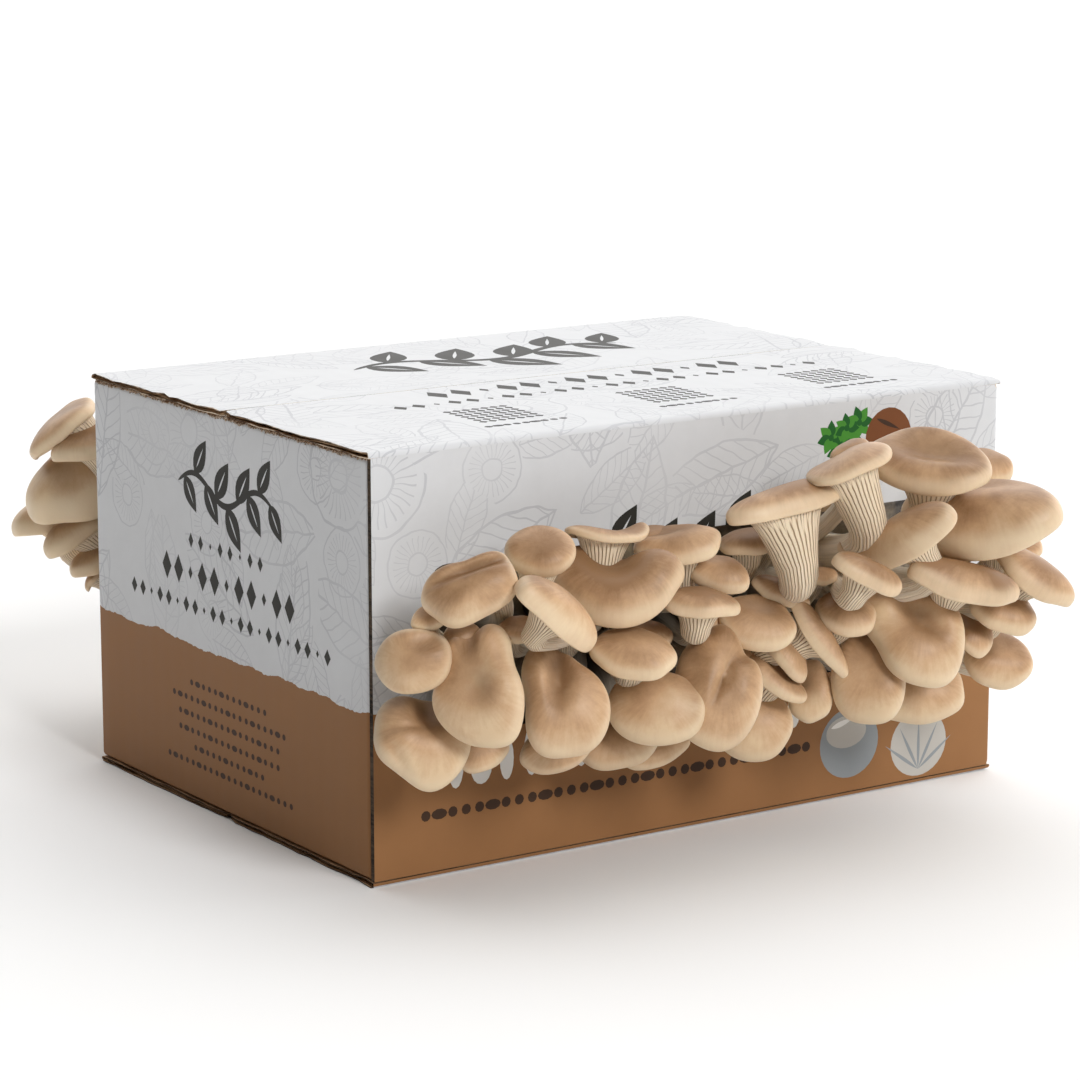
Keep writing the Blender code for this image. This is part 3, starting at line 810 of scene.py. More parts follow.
@dataclass
class Shell:
    """Slabs that are gathered into one piece of board.

    Attributes:
        points: Corners, block by block.
        faces: Corner numbers of the faces, block by block.
        slots: Their material numbers.
        maps: Place of every face corner on the flat sheet, in metres.
    """

    points: list[Array] = field(default_factory=list)
    faces: list[Array] = field(default_factory=list)
    slots: list[Array] = field(default_factory=list)
    maps: list[Array] = field(default_factory=list)

    def add_slab(
        self, sheet: tuple[Array, Array, Array | int], outer: Array, inner: Array, back: int, edge: int
    ) -> None:
        """Add a closed slab: the outer face, the inner face and the cut edges between.

        Args:
            sheet: Corners on the flat sheet, faces seen from outside, and their material numbers.
            outer: Place of each corner on the outer face.
            inner: Place of each corner on the inner face.
            back: Material number of the inner face.
            edge: Material number of the cut edges.
        """
        flat, faces, inks = sheet
        count, corners = len(flat), faces.shape[1]
        ends = np.concatenate([faces[:, [corner, (corner + 1) % corners]] for corner in range(corners)])
        rim = ends[~np.isin(ends[:, 0] * count + ends[:, 1], ends[:, 1] * count + ends[:, 0])]
        sides = np.stack([rim[:, 1], rim[:, 0], rim[:, 0] + count, rim[:, 1] + count], axis=-1)
        both = np.concatenate([flat, flat])
        offset = sum(len(block) for block in self.points)
        self.points += [outer, inner]
        for block, slots in ((faces, inks), (faces[:, ::-1] + count, back), (sides, edge)):
            self.faces.append(block + offset)
            self.slots.append(np.broadcast_to(slots, len(block)))
            self.maps.append(both[block.ravel()] * MM)

    def piece(self, node: str, body: str, looks: list[Material]) -> Object:
        """Make the piece.

        Args:
            node: CAD node that it stands for.
            body: Body that it rides on.
            looks: Materials of the carton.

        Returns:
            The piece.
        """
        points, slots = np.concatenate(self.points), np.concatenate(self.slots)
        sheet = ("sheet", np.concatenate(self.maps))
        piece = add_piece(f"{node}_board", points, self.faces, looks, slots, sheet, math.radians(38))
        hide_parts(node)
        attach(piece, body)
        return piece


def lines(low: float, high: float, pitch: float, extra: Iterable[float] = ()) -> Array:
    """Grid lines from low to high, about a pitch apart, with extra ones in between.

    Args:
        low: First line.
        high: Last line.
        pitch: Distance of the even lines, which give way near an extra one.
        extra: Places of the extra lines.

    Returns:
        Places of all lines, in order.
    """
    even = np.linspace(low, high, max(2, round((high - low) / pitch) + 1))
    near = np.array([place for place in extra if low < place < high])
    clear = [place for place in even[1:-1] if not len(near) or np.abs(near - place).min() > pitch * 0.3]
    return np.unique(np.concatenate([[low, high], clear, near]))


@dataclass(frozen=True)
class Sleeve:
    """The four walls of the carton: one blank that is folded round and glued by a tab at the near corner.

    Attributes:
        radius: Outer radius of its upright folds.
        squeezed: Inner radius of those folds, where the board is pressed thin.
        tab: Length of the glued tab behind the front wall.
        set_back: Distance of the front wall's raw edge behind the end wall's face.
        low: Height of its lower edge.
        high: Height of its upper edge.
        rolled_to: Height where the roll of the end walls ends.
    """

    radius: float = 2.8
    squeezed: float = 0.3
    tab: float = 34.0
    set_back: float = 0.3
    low: float = BOARD + GAP
    high: float = CARTON_HEIGHT - FOLD_RADIUS + 0.02
    rolled_to: float = CARTON_HEIGHT - FOLD_RADIUS - 0.48

    @property
    def bend(self) -> float:
        """Length of the blank's outer face round an upright fold."""
        return self.radius * np.pi / 2

    @property
    def runs(self) -> tuple[float, ...]:
        """Straight lengths of the blank between its folds: front, right end, back, left end and tab."""
        long, short = CARTON_LENGTH - 2 * self.radius, CARTON_DEPTH - 2 * self.radius
        return (CARTON_LENGTH - self.radius - self.set_back, short, long, short - BOARD, self.tab)

    def starts(self) -> Array:
        """Where each straight run starts along the blank."""
        return np.concatenate([[0.0], np.cumsum(np.array(self.runs[:-1]) + self.bend)])

    def place(self, along: Array) -> tuple[Array, Array]:
        """Where the blank's outer face runs, seen from above: straight runs joined by left turns.

        Args:
            along: Places along the blank.

        Returns:
            Points of the outer face, and its outward normals.
        """
        point = np.array([-CARTON_LENGTH / 2 + self.set_back, -CARTON_DEPTH / 2])
        places, normals = np.zeros((2, len(along), 2))
        for number, (start, length) in enumerate(zip(self.starts(), self.runs)):
            heading = number * np.pi / 2
            ahead = np.array([np.cos(heading), np.sin(heading)])
            out = np.array([np.sin(heading), -np.cos(heading)])
            way = along - start
            straight = (way >= -1e-6) & (way <= length + 1e-6)
            places[straight] = point + np.outer(way[straight], ahead)
            normals[straight] = out
            turning = (way > length) & (way < length + self.bend)
            angle = heading + (way[turning] - length) / self.radius
            centre = point + length * ahead - self.radius * out
            around = np.stack([np.sin(angle), -np.cos(angle)], axis=-1)
            places[turning] = centre + self.radius * around
            normals[turning] = around
            point = centre + self.radius * ahead
        return places, normals

    def faces_at(self, flat: Array) -> tuple[Array, Array]:
        """Outer and inner face of the folded blank. The end walls roll inwards above and below.

        Args:
            flat: Places along and up the blank.

        Returns:
            Points of the outer and of the inner face.
        """
        places, normals = self.place(flat[:, 0])
        turned = np.abs(normals).min(axis=1) > 1e-9
        thick = np.where(turned, self.radius - self.squeezed, BOARD)
        up = flat[:, 1]
        over = np.maximum(up - (self.rolled_to - FOLD_RADIUS), self.low + FOLD_RADIUS - up)
        over = np.clip(over, 0, FOLD_RADIUS * 0.999)
        roll = (FOLD_RADIUS - np.sqrt(FOLD_RADIUS**2 - over**2)) * np.abs(normals[:, 0]) ** 2
        outer, inner = (np.column_stack([places - normals * deep[:, None], up]) for deep in (roll, thick))
        return outer, inner

    def window(self, start: float) -> Array:
        """Outline of one window, a rectangle with rounded corners.

        Args:
            start: Where its wall starts along the blank.

        Returns:
            Corners, counterclockwise.
        """
        angle = np.radians(np.linspace(0, 90, 7)) + np.arange(4)[:, None] * np.pi / 2
        side, rise = np.array([(1, -1, -1, 1), (1, 1, -1, -1)])[..., None]
        middle = start + CARTON_LENGTH / 2 + side * (WINDOW_LENGTH / 2 - WINDOW_CORNER)
        up = WINDOW_UP + rise * (WINDOW_HEIGHT / 2 - WINDOW_CORNER)
        outline = (middle + WINDOW_CORNER * np.cos(angle), up + WINDOW_CORNER * np.sin(angle))
        return np.stack(outline, axis=-1).reshape(-1, 2)

    def build(self, looks: list[Material]) -> Object:
        """Build the sleeve, in one piece with its print.

        Args:
            looks: Materials of the carton.

        Returns:
            The piece.
        """
        starts = self.starts()
        panels = [-self.set_back, *(starts[1:4] - self.radius)]
        creases = np.concatenate([start + np.linspace(-self.bend, 0, 6) for start in starts[1:]])
        columns = lines(0.0, starts[4] + self.tab, BOARD_PITCH, creases)
        curve = FOLD_RADIUS * (1 - np.cos(np.linspace(0, np.pi / 2, 6)[1:-1]))
        top, base = self.rolled_to, self.low
        rolls = (*(top - curve), top - FOLD_RADIUS, *(base + curve), base + FOLD_RADIUS, top)
        designs = (long_print(), end_print()) * 2
        prints = tuple(
            (ink, shape + (shift, 0.0)) for shift, design in zip(panels, designs) for ink, shape in design
        )
        holes = (self.window(panels[0]), self.window(panels[2]))
        rows = lines(self.low, self.high, BOARD_PITCH, rolls)
        sheet = Sheet(columns, rows, creases, prints, holes).cut()
        shell = Shell()
        shell.add_slab(sheet, *self.faces_at(sheet[0]), KRAFT_SLOT, SHADED_EDGE_SLOT)
        # The upper edge is plain kraft; every other cut edge, round the windows too, is darkened with painted
        # shade.
        lowest = np.concatenate(shell.points)[shell.faces[-1]][:, :, 2].min(axis=1)
        shell.slots[-1] = np.where(lowest > self.high - 0.5, KRAFT_SLOT, SHADED_EDGE_SLOT)
        return shell.piece("carton_sleeve", "kit", looks)


@dataclass(frozen=True)
class Flap:
    """A flap of corrugated board, with its two liners and the wavy paper between them.

    Its own axes run along the fold, from the fold to the free edge, and out of its printed face.

    Attributes:
        node: CAD node that it stands for.
        body: Body that it rides on.
        fold: Middle of the fold, on the printed face.
        ahead: Direction from the fold to the free edge.
        out: Direction out of the printed face.
        width: Length of the fold.
        reach: Distance from the fold to the free edge.
        rolled: Whether its printed liner rolls over the fold.
        wear: How far its raw side edges are crushed, from 0 to 1.
        prints: Shapes printed on it, in its own axes.
        edge: Material number of its raw edges.
    """

    node: str
    body: str
    fold: tuple[float, float, float]
    ahead: tuple[float, float, float]
    out: tuple[float, float, float]
    width: float
    reach: float
    rolled: bool
    wear: float
    prints: Shapes = ()
    edge: int = RAW_SLOT

    def over_fold(self, way: Array) -> tuple[Array, Array]:
        """The printed liner's profile: a quarter circle over the fold, then flat.

        Args:
            way: Distance along the liner from its start at the fold.

        Returns:
            Place ahead of the fold and out of the printed face, and the normal in the same plane.
        """
        if not self.rolled:
            flat = np.stack([way, np.zeros_like(way)], axis=-1)
            return flat, np.broadcast_to([0.0, 1.0], flat.shape)
        arc = FOLD_RADIUS * np.pi / 2
        angle = np.minimum(way, arc) / FOLD_RADIUS
        normal = np.stack([-np.cos(angle), np.sin(angle)], axis=-1)
        place = (normal + (1.0, -1.0)) * FOLD_RADIUS
        place[:, 0] += np.maximum(way - arc, 0)
        return place, normal

    def worn(self, points: Array) -> Array:
        """Crush and tear the raw side edges and chip the free corners, by smooth noise that fades inwards.

        Args:
            points: Points in the flap's own axes.

        Returns:
            The moved points.
        """
        side, middle, seed = np.sign(points[:, 0]), -BOARD / 2, len(self.node) + 7
        from_edge = np.maximum(self.width / 2 - np.abs(points[:, 0]), 0)
        from_end = np.maximum(self.reach - points[:, 1], 0)
        place = points[:, 1] + side * 400
        fade = self.wear * np.exp(-from_edge / CRUSH_FADE)
        crush = np.clip(fade * (0.1 + 0.4 * ripple(place, seed, 90, 7)), 0, 0.5)
        height = middle + (points[:, 2] - middle) * (1 - crush)
        height = height + fade * np.clip(ripple(place, seed + 2, 70, 12), -1, 0.25) * 0.6
        torn = self.wear * np.exp(-from_edge / TORN_FADE) * ripple(place, seed + 1, 40, 3) * 1.3
        torn = np.maximum(torn * np.where(points[:, 2] > middle, 1.0, 0.5), -0.6)
        chip = self.wear * np.exp(-from_edge / CHIP_FADES[0] - from_end / CHIP_FADES[1])
        across = points[:, 0] - side * (torn + 1.2 * chip)
        return np.column_stack([across, points[:, 1] - 2.2 * chip, height])

    def build(self, looks: list[Material]) -> Object:
        """Build the flap: both liners as slabs, and the wavy paper between them.

        Args:
            looks: Materials of the carton.

        Returns:
            The piece.
        """
        half = self.width / 2
        arc = FOLD_RADIUS * (np.pi / 2 - 1) if self.rolled else 0.0
        near_edge = np.array([1.0, 3.0, 6.0, 11.0])
        columns = lines(-half, half, BOARD_PITCH, (*(near_edge - half), *(half - near_edge)))
        bend = FOLD_RADIUS * np.pi / 2 * np.linspace(0, 1, 6)[1:] if self.rolled else ()
        prints = tuple((ink, shape + (0.0, arc)) for ink, shape in self.prints)
        sheet = Sheet(columns, lines(0.0, self.reach + arc, LINER_PITCH, bend), prints=prints).cut()
        place, normal = self.over_fold(sheet[0][:, 1])
        outer = np.column_stack([sheet[0][:, 0], place])
        inner = outer - np.column_stack([np.zeros(len(normal)), normal]) * LINER
        shell = Shell()
        shell.add_slab(sheet, self.worn(outer), self.worn(inner), KRAFT_SLOT, self.edge)
        flat, triangles, _ = Sheet(columns, lines(0.2, self.reach, LINER_PITCH)).cut()
        upper = np.column_stack([flat, np.full(len(flat), LINER - BOARD)])
        under = self.worn(upper - (0.0, 0.0, LINER))
        shell.add_slab((flat, triangles, KRAFT_SLOT), self.worn(upper), under, KRAFT_SLOT, self.edge)
        self.add_flutes(shell)
        ahead, out = np.array(self.ahead), np.array(self.out)
        axes = np.stack([np.cross(ahead, out), ahead, out])
        shell.points = [np.concatenate(shell.points) @ axes + self.fold]
        return shell.piece(self.node, self.body, looks)

    def add_flutes(self, shell: Shell) -> None:
        """Add the wavy paper between the liners: a thin slab whose height is a sine across the flap.

        Args:
            shell: Board that it joins.
        """
        half = self.width / 2 - 0.9
        across = np.linspace(-half, half, round(2 * half / FLUTE_PITCH * 6))
        along = lines(FOLD_RADIUS, self.reach - 0.4, BOARD_PITCH)
        flat = np.stack(np.meshgrid(across, along, indexing="ij"), axis=-1).reshape(-1, 2)
        shift = 2.6 * ripple(flat[:, 1], len(self.node), 120, 25)
        swing = (BOARD - 2 * LINER - FLUTE_PAPER) / 2
        wave = -BOARD / 2 + swing * np.sin((flat[:, 0] + shift * self.wear) * TURN / FLUTE_PITCH)
        high = np.column_stack([flat, wave + FLUTE_PAPER / 2])
        under = self.worn(high - (0.0, 0.0, FLUTE_PAPER))
        quads = grid_faces(len(across), len(along))
        shell.add_slab((flat, quads, KRAFT_SLOT), self.worn(high), under, KRAFT_SLOT, KRAFT_SLOT)


def top_print() -> Shapes:
    """Print of the closed top, as a table seen from the front: along from the left and up from the front."""
    shapes = garland(Ink.DARK, 118, 210, 168, 10, 44)
    shapes += lozenges(Ink.DARK, 112, 119, 14, 14, (11, 20))
    shapes += lozenges(Ink.DARK, 76, 96, 25, 10.6, (7.5, 11))
    for place in (105, 208, 311):
        shapes += checks(Ink.DARK, place, 57, 38)
        shapes += beads(Ink.DARK, place, 28, 9, 5.4, 4.2)
    return shapes


@dataclass(frozen=True)
class Carton:
    """The whole carton: its sleeve and eight flaps.

    Attributes:
        sleeve: The sleeve.
    """

    sleeve: Sleeve = Sleeve()

    def flaps(self) -> list[Flap]:
        """Every flap of the carton, where the CAD has it."""
        corner = np.array([CARTON_LENGTH / 2, CARTON_DEPTH / 2])
        outer_reach = corner[1] - FLAP_SEAM / 2 + SEAM_COVER
        front_print = [
            (ink, shape - (corner[0], 0.0)) for ink, shape in top_print() if shape[:, 1].max() < outer_reach
        ]
        back_print = [
            (ink, (corner[0], CARTON_DEPTH) - shape)
            for ink, shape in top_print()
            if shape[:, 1].min() > corner[1] + FLAP_SEAM
        ]
        up, down = (0.0, 0.0, 1.0), (0.0, 0.0, -1.0)
        made = []
        for name, side, prints in (("front", -1, front_print), ("back", 1, back_print)):
            ahead, place, body = (0.0, -side, 0.0), side * corner[1], f"flap_{name}"
            top, base = (0.0, place, CARTON_HEIGHT), (0.0, place, 0.0)
            wide, reach = CARTON_LENGTH + 2 * SIDE_COVER, outer_reach - side * BOTTOM_SEAM_BACK
            made += [
                Flap(f"top_{body}", body, top, ahead, up, wide, outer_reach, True, 1.0, prints),
                # The base's flaps have their raw edges darkened with painted shade.
                Flap(
                    node=f"bottom_{body}", body="kit", fold=base, ahead=ahead, out=down,
                    width=CARTON_LENGTH, reach=reach, rolled=True, wear=0.8, edge=SHADED_EDGE_SLOT,
                ),
            ]
        for name, side in (("left", -1), ("right", 1)):
            place, sizes = side * (corner[0] - BOARD - GAP), (CARTON_DEPTH - 2 * (BOARD + GAP), corner[1])
            ahead, base = (-side, 0.0, 0.0), BOARD + GAP
            for level, height, out in (("top", CARTON_HEIGHT - base, up), ("bottom", base, down)):
                fold = (place, 0.0, height)
                made.append(Flap(f"{level}_flap_{name}", "kit", fold, ahead, out, *sizes, False, 0.3))
        return made

    def build(self, looks: list[Material]) -> None:
        """Build the sleeve and the flaps."""
        for board in (self.sleeve, *self.flaps()):
            report(board.build(looks))


@dataclass(frozen=True)
class GrowBlock:
    """The block of grown straw in its bag, a rounded box whose film is creased.

    Attributes:
        half: Half its length, depth and height.
        middle_up: Height of its middle.
        rounding: Radius of its edges.
        crease: Depth of the creases.
        steps: Faces along each side.
    """

    half: tuple[float, float, float] = (183.0, 132.0, 94.9)
    middle_up: float = 101.5
    rounding: float = 14.0
    crease: float = 0.9
    steps: int = 44

    def side(self, axis: int, sign: int) -> Array:
        """One side of the box: a grid on it, drawn onto a box whose edges are rounded.

        Args:
            axis: Axis that the side faces.
            sign: Its direction along that axis.

        Returns:
            Points, row by row.
        """
        even = np.sin(np.linspace(-1, 1, self.steps + 1) * np.pi / 2)
        first, second = np.meshgrid(even, even, indexing="ij")
        cube = np.roll(np.stack([np.full_like(first, sign), first, second * sign], axis=-1), axis, axis=-1)
        half = np.array(self.half)
        core = np.clip(cube * half, self.rounding - half, half - self.rounding)
        away = cube * half - core
        length = np.maximum(np.linalg.norm(away, axis=-1, keepdims=True), 1e-9)
        return (core + away / length * self.rounding).reshape(-1, 3)

    def build(self, look: Material) -> Object:
        """Build the bag: six sides that share their edges, creased inwards by the product of two ripples.

        Args:
            look: Its material.

        Returns:
            The piece.
        """
        sides = [self.side(axis, sign) for axis in range(3) for sign in (-1, 1)]
        corners, number = np.unique(np.round(np.concatenate(sides), 4), axis=0, return_inverse=True)
        grid = grid_faces(self.steps + 1, self.steps + 1)
        faces = [number.reshape(-1)[grid + place * len(sides[0])] for place in range(len(sides))]
        wrinkle = ripple(corners @ (0.8, 1.0, 0.6), 3, 60, 9) * ripple(corners @ (-0.5, 0.9, 1.1), 4, 70, 14)
        shrunk = corners - corners / np.array(self.half) * self.crease * (0.6 + wrinkle)[:, None]
        piece = add_piece("grow_block_bag", shrunk + (0.0, 0.0, self.middle_up), faces, [look])
        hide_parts("grow_block")
        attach(piece, "kit")
        return piece


def unit(vector: Array) -> Array:
    """The vector at length 1."""
    return vector / np.linalg.norm(vector)


@dataclass(frozen=True)
class Dent:
    """A hollow of a cap, or a swell where its depth is negative, as a bell that may be long and turned.

    Attributes:
        at: Its middle, across and along, in half sizes.
        reach: How far it reaches to each side of its middle before it fades, in its own two directions.
        depth: Depth in millimetres.
        lean: Degrees that its own directions are turned from across and along.
    """

    at: tuple[float, float]
    reach: tuple[float, float]
    depth: float
    lean: float = 0.0

    def share(self, across: Array, along: Array) -> Array:
        """Share of its depth at places of the cap.

        Args:
            across: Places across the cap, in half sizes.
            along: Places along it.

        Returns:
            Shares from 0 to 1.
        """
        cos, sin = math.cos(math.radians(self.lean)), math.sin(math.radians(self.lean))
        right, ahead = across - self.at[0], along - self.at[1]
        first = (right * cos + ahead * sin) / self.reach[0]
        second = (ahead * cos - right * sin) / self.reach[1]
        return np.exp(-(first**2) - second**2)


@dataclass(frozen=True)
class Mushroom:
    """One mushroom, with its cap, gills and stem grown as one.

    Attributes:
        at: Middle of the cap: along the panel, up from the base and out from the board.
        size: Across the cap, and along its growth away from the stem.
        pose: Degrees: tilt from level, turn of that tilt about +Z, spin of the cap about its own normal.
        crown: Height of the dome over the cap's mean size.
        dish: Depth of the hollow in the dome over the mean size.
        hollow: Middle of that hollow, across and along, in half sizes.
        fan: How much wider the cap gets along its growth, where it has no radii.
        stem_at: How far behind the middle the stem stands, in half sizes.
        stem: Radius of the stem.
        funnel: Depth of the gills below the margin over the mean size.
        root: Shift of the foot along and up the panel.
        push: How far the stem keeps to the cap's normal, as a share of its reach.
        tone: How much darker than the others it grew. A few tones are painted light or painted shade, as the
            tables say.
        radii: Radius of the margin at every 30 degrees from across, in half sizes.
        dents: Further hollows and swells of the cap.
        pale: Share of its skin that shows pale flesh, as on a cap that is seen from its gills' side.
        painted_light: Share of its skin that is lightened to its margin's colour, as painted light on a cap
            in shade.
        name: Side of the carton and a number.
    """

    at: tuple[float, float, float]
    size: tuple[float, float]
    pose: tuple[float, float, float]
    crown: float = 0.26
    dish: float = 0.0
    hollow: tuple[float, float] = (0.0, -0.3)
    fan: float = 0.15
    stem_at: float = 0.5
    stem: float = 6.5
    funnel: float = 0.30
    root: tuple[float, float] = (0.0, 0.0)
    push: float = 0.35
    tone: float = 0.0
    radii: tuple[float, ...] = ()
    dents: tuple[Dent, ...] = ()
    pale: float = 0.0
    painted_light: float = 0.0
    name: str = ""

    @property
    def mean(self) -> float:
        """Mean size of the cap."""
        return (self.size[0] + self.size[1]) / 2

    @property
    def seed(self) -> int:
        """A number of its own, from its name."""
        return sum(ord(letter) * (place + 3) for place, letter in enumerate(self.name))

    @property
    def columns(self) -> int:
        """How many columns its skin has: more on a larger cap."""
        return 96 if self.mean > 44 else 80 if self.mean > 30 else 52

    def axes(self) -> Array:
        """Across, growth and normal directions of the cap, as rows."""
        tilt, turn, spin = np.radians(self.pose)
        normal = np.array([np.sin(tilt) * np.sin(turn), -np.sin(tilt) * np.cos(turn), np.cos(tilt)])
        down_and_out = unit(np.array([0.0, -1.0, -1.0]))
        growth = unit(down_and_out - down_and_out.dot(normal) * normal)
        growth = np.cos(spin) * growth + np.sin(spin) * np.cross(normal, growth)
        return np.stack([np.cross(growth, normal), growth, normal])

    def places(self, angle: Array, share: Array) -> tuple[Array, Array]:
        """Places across and along the cap in half sizes, on rings that are shares of its margin.

        The margin is the smooth curve through its radii, or a fan with four small waves.

        Args:
            angle: Angles round the cap.
            share: Share of each ring.

        Returns:
            Places across and along, ring by ring.
        """
        fan = 0.0 if self.radii else self.fan
        if self.radii:
            waves = np.fft.rfft(self.radii) / len(self.radii)
            waves[1:-1] *= 2
            radius = (np.exp(1j * np.outer(angle, np.arange(len(waves)))) * waves).real.sum(axis=1)
        else:
            random = np.random.default_rng(self.seed)
            radius = np.ones_like(angle)
            for waves in (2, 3, 4, 7):
                radius += random.uniform(0.006, 0.022) * np.cos(waves * angle + random.uniform(0, TURN))
        along = radius * np.sin(angle)
        return np.outer(share, radius * np.cos(angle) * (1 + fan * along)), np.outer(share, along)

    def hollow_at(self, across: Array, along: Array) -> Array:
        """Share of the hollow at places of the cap."""
        return Dent(self.hollow, (0.55, 0.5), 0.0).share(across, along)

    def bend(self, across: Array, along: Array) -> Array:
        """How far the hollows, the drooping far margin and three slow waves push a point along the normal.

        Args:
            across: Places across the cap, in half sizes.
            along: Places along it.

        Returns:
            Distances in millimetres.
        """
        droop = MARGIN_DROOP * self.size[1] * np.clip(along, 0, 2) ** 2
        random = np.random.default_rng(self.seed + 1)
        uneven = np.zeros_like(across)
        for _ in range(3):
            lean, wave, phase = random.uniform(0, TURN), random.uniform(2.2, 4.2), random.uniform(0, TURN)
            uneven += np.sin(wave * (across * np.cos(lean) + along * np.sin(lean)) + phase)
        for dent in self.dents:
            droop = droop + dent.depth * dent.share(across, along)
        return uneven * UNEVEN * self.mean - self.dish * self.mean * self.hollow_at(across, along) - droop

    def rings(self, angle: Array, share: Array, height: Array) -> Array:
        """Rings of the cap, each at a share of its margin and raised by a height.

        Args:
            angle: Angles round the cap.
            share: Share of each ring.
            height: Height of each ring.

        Returns:
            Points in the cap's own axes, ring by ring.
        """
        across, along = self.places(angle, share)
        lift = height[:, None] + self.bend(across, along)
        return np.stack([across * self.size[0] / 2, along * self.size[1] / 2, lift], axis=-1)

    def neck(self) -> Array:
        """Where the gills end and the stem starts, in the cap's own axes."""
        return np.array([0.0, -self.stem_at * self.size[1] / 2, -self.funnel * self.mean])

    def gills(self, angle: Array, way: Array) -> Array:
        """Rings of the gills' trumpet, from the margin at way 0 to the stem at way 1.

        Args:
            angle: Angles round the cap.
            way: Way of each ring.

        Returns:
            Points in the cap's own axes, ring by ring.
        """
        inward = way**0.85
        rings = self.rings(angle, (1 - 2 * MARGIN) * (1 - inward), np.zeros_like(way))
        circle = np.stack([np.cos(angle), np.sin(angle)], axis=-1) * self.stem * STEM_FLARE
        rings[..., :2] += inward[:, None, None] * (circle + self.neck()[:2])
        rings[..., 2] = (1 - inward)[:, None] * rings[..., 2] + (self.neck()[2] * way**2)[:, None]
        return rings

    def foot(self) -> Array:
        """The foot of the stem, in the grow block, in the panel's axes."""
        pairs = zip(self.at, ROOT_MIDDLE, ROOT_SHRINK, self.root)
        along, up = (middle + (place - middle) * shrink + shift for place, middle, shrink, shift in pairs)
        return np.array([along, ROOT_DEPTH, up])

    def stem_rings(self, angle: Array, ways: Array, start: Array) -> Array:
        """Rings down the stem, along a cubic curve that leaves the cap along its normal.

        Args:
            angle: Angles round the stem.
            ways: Ways of the rings, 0 at the neck and 1 at the foot.
            start: The neck in the panel's axes.

        Returns:
            Points in the panel's axes, ring by ring.
        """
        side, _, normal = self.axes()
        end = self.foot()
        reach = np.linalg.norm(end - start)
        first = start - normal * reach * self.push
        second = end - (0.0, reach * FOOT_PUSH, 0.0)
        rings = []
        for way, thick in zip(ways, 1 + 0.05 * ripple(ways * reach, self.seed, 40, 9)):
            rest = 1 - way
            point = rest**3 * start + 3 * rest**2 * way * first + 3 * rest * way**2 * second + way**3 * end
            along = rest**2 * (first - start) + 2 * rest * way * (second - first) + way**2 * (end - second)
            tangent = unit(along)
            side = unit(side - side.dot(tangent) * tangent)
            radius = self.stem * (STEM_FLARE - STEM_WAIST * math.sin(math.pi * min(way * 1.2, 1.0)))
            circle = np.outer(np.cos(angle), side) + np.outer(np.sin(angle), np.cross(side, tangent))
            rings.append(point + radius * thick * circle)
        return np.array(rings)

    def surface(self) -> tuple[Array, Array, Array, Array]:
        """The whole skin: dome, rolled margin, gills and stem, as one grid.

        The dome's share is a power of the sine and its height one of the cosine, so it meets the margin
        upright. The margin rolls under in a half circle, and the gills run from it down to the stem.

        Returns:
            Points ring by ring, in the panel's axes; four shares of flesh for each; how dark the skin grew
            at each, with painted shade where it faces up; and each ring's progress from the crown to the
            foot, as the map "gills" has it.
        """
        angle = np.arange(self.columns) * TURN / self.columns
        turn = np.radians(90 * np.linspace(0.02, 1, 19) ** 0.8)
        dome = np.sin(turn) ** DOME_SHARE_POWER
        roll = np.linspace(0, np.pi, 8)[1:]
        lip = MARGIN * self.mean * ROLL_DEPTH
        share = np.concatenate([dome, 1 - MARGIN + MARGIN * np.cos(roll)])
        top = self.crown * self.mean * np.cos(turn).clip(0) ** DOME_HEIGHT_POWER
        height = np.concatenate([top, -lip * np.sin(roll)])
        way, down = np.linspace(0, 1, 13)[1:], np.linspace(0, 1, 12)[1:]
        cap = np.concatenate([self.rings(angle, share, height), self.gills(angle, way)])
        middle, axes = np.array([self.at[0], -self.at[2], self.at[1]]), self.axes()
        stem = self.stem_rings(angle, down, middle + self.neck() @ axes)
        points = np.concatenate([middle + cap @ axes, stem])
        flesh = np.zeros((*points.shape[:2], 4))
        flesh[: len(dome), :, 0] = 1 - self.pale
        flesh[len(dome) : len(share), :, 0] = (1 - (roll / np.pi) ** 3)[:, None]
        # The pale margin: paler skin with a painted highlight along the rim; painted light lightens more of
        # the skin on a cap in shade.
        rim = np.exp(-(((1 - dome) / RIM_FADE) ** 2)) * RIM_SHARE
        flesh[: len(dome), :, 1] = np.clip(rim + self.painted_light, 0, 1)[:, None]
        flesh[len(dome) : len(share), :, 1] = ROLL_SHARE
        # Hollows and dents are darker by their depth: darker skin, with painted shade that grows with the
        # depth; swells take some away.
        across, along = self.places(angle, share)
        hollow_and_shade = self.hollow_at(across, along) * (0.16 + 4.2 * self.dish)
        for dent in self.dents:
            hollow_and_shade += dent.share(across, along) * np.clip(dent.depth / 10, -0.3, 0.42)
        flesh[: len(share), :, 2] = np.clip(hollow_and_shade, 0, 0.7)
        # Painted shade that grows towards the grow block.
        flesh[..., 3] = np.clip((PAINTED_SHADE_BELOW + points[..., 1]) / PAINTED_SHADE_BELOW, 0, 1)
        # Skin darkens towards the crown; where it faces up to the light it is darkened with painted shade.
        around = np.roll(points, -1, axis=1) - np.roll(points, 1, axis=1)
        normals = np.cross(np.gradient(points, axis=0), around)
        upward = normals[..., 2] / np.maximum(np.linalg.norm(normals, axis=-1), 1e-9)
        own = self.tone + np.random.default_rng(self.seed + 2).uniform(-0.1, 0.1)
        dark = own - 0.26 + 0.44 * np.clip(upward, 0, 1)
        dark[: len(dome)] += 0.26 * (1 - dome[:, None] ** 2) - 0.1
        return points, flesh, dark, np.concatenate([dome - 1, 0.02 * roll / np.pi, way, 1 + down])

    def in_kit(self, points: Array) -> Array:
        """The back panel is the front one after half a turn."""
        moved = points - (CARTON_LENGTH / 2, CARTON_DEPTH / 2, 0.0)
        return moved * (-1, -1, 1) if self.name.startswith("back") else moved

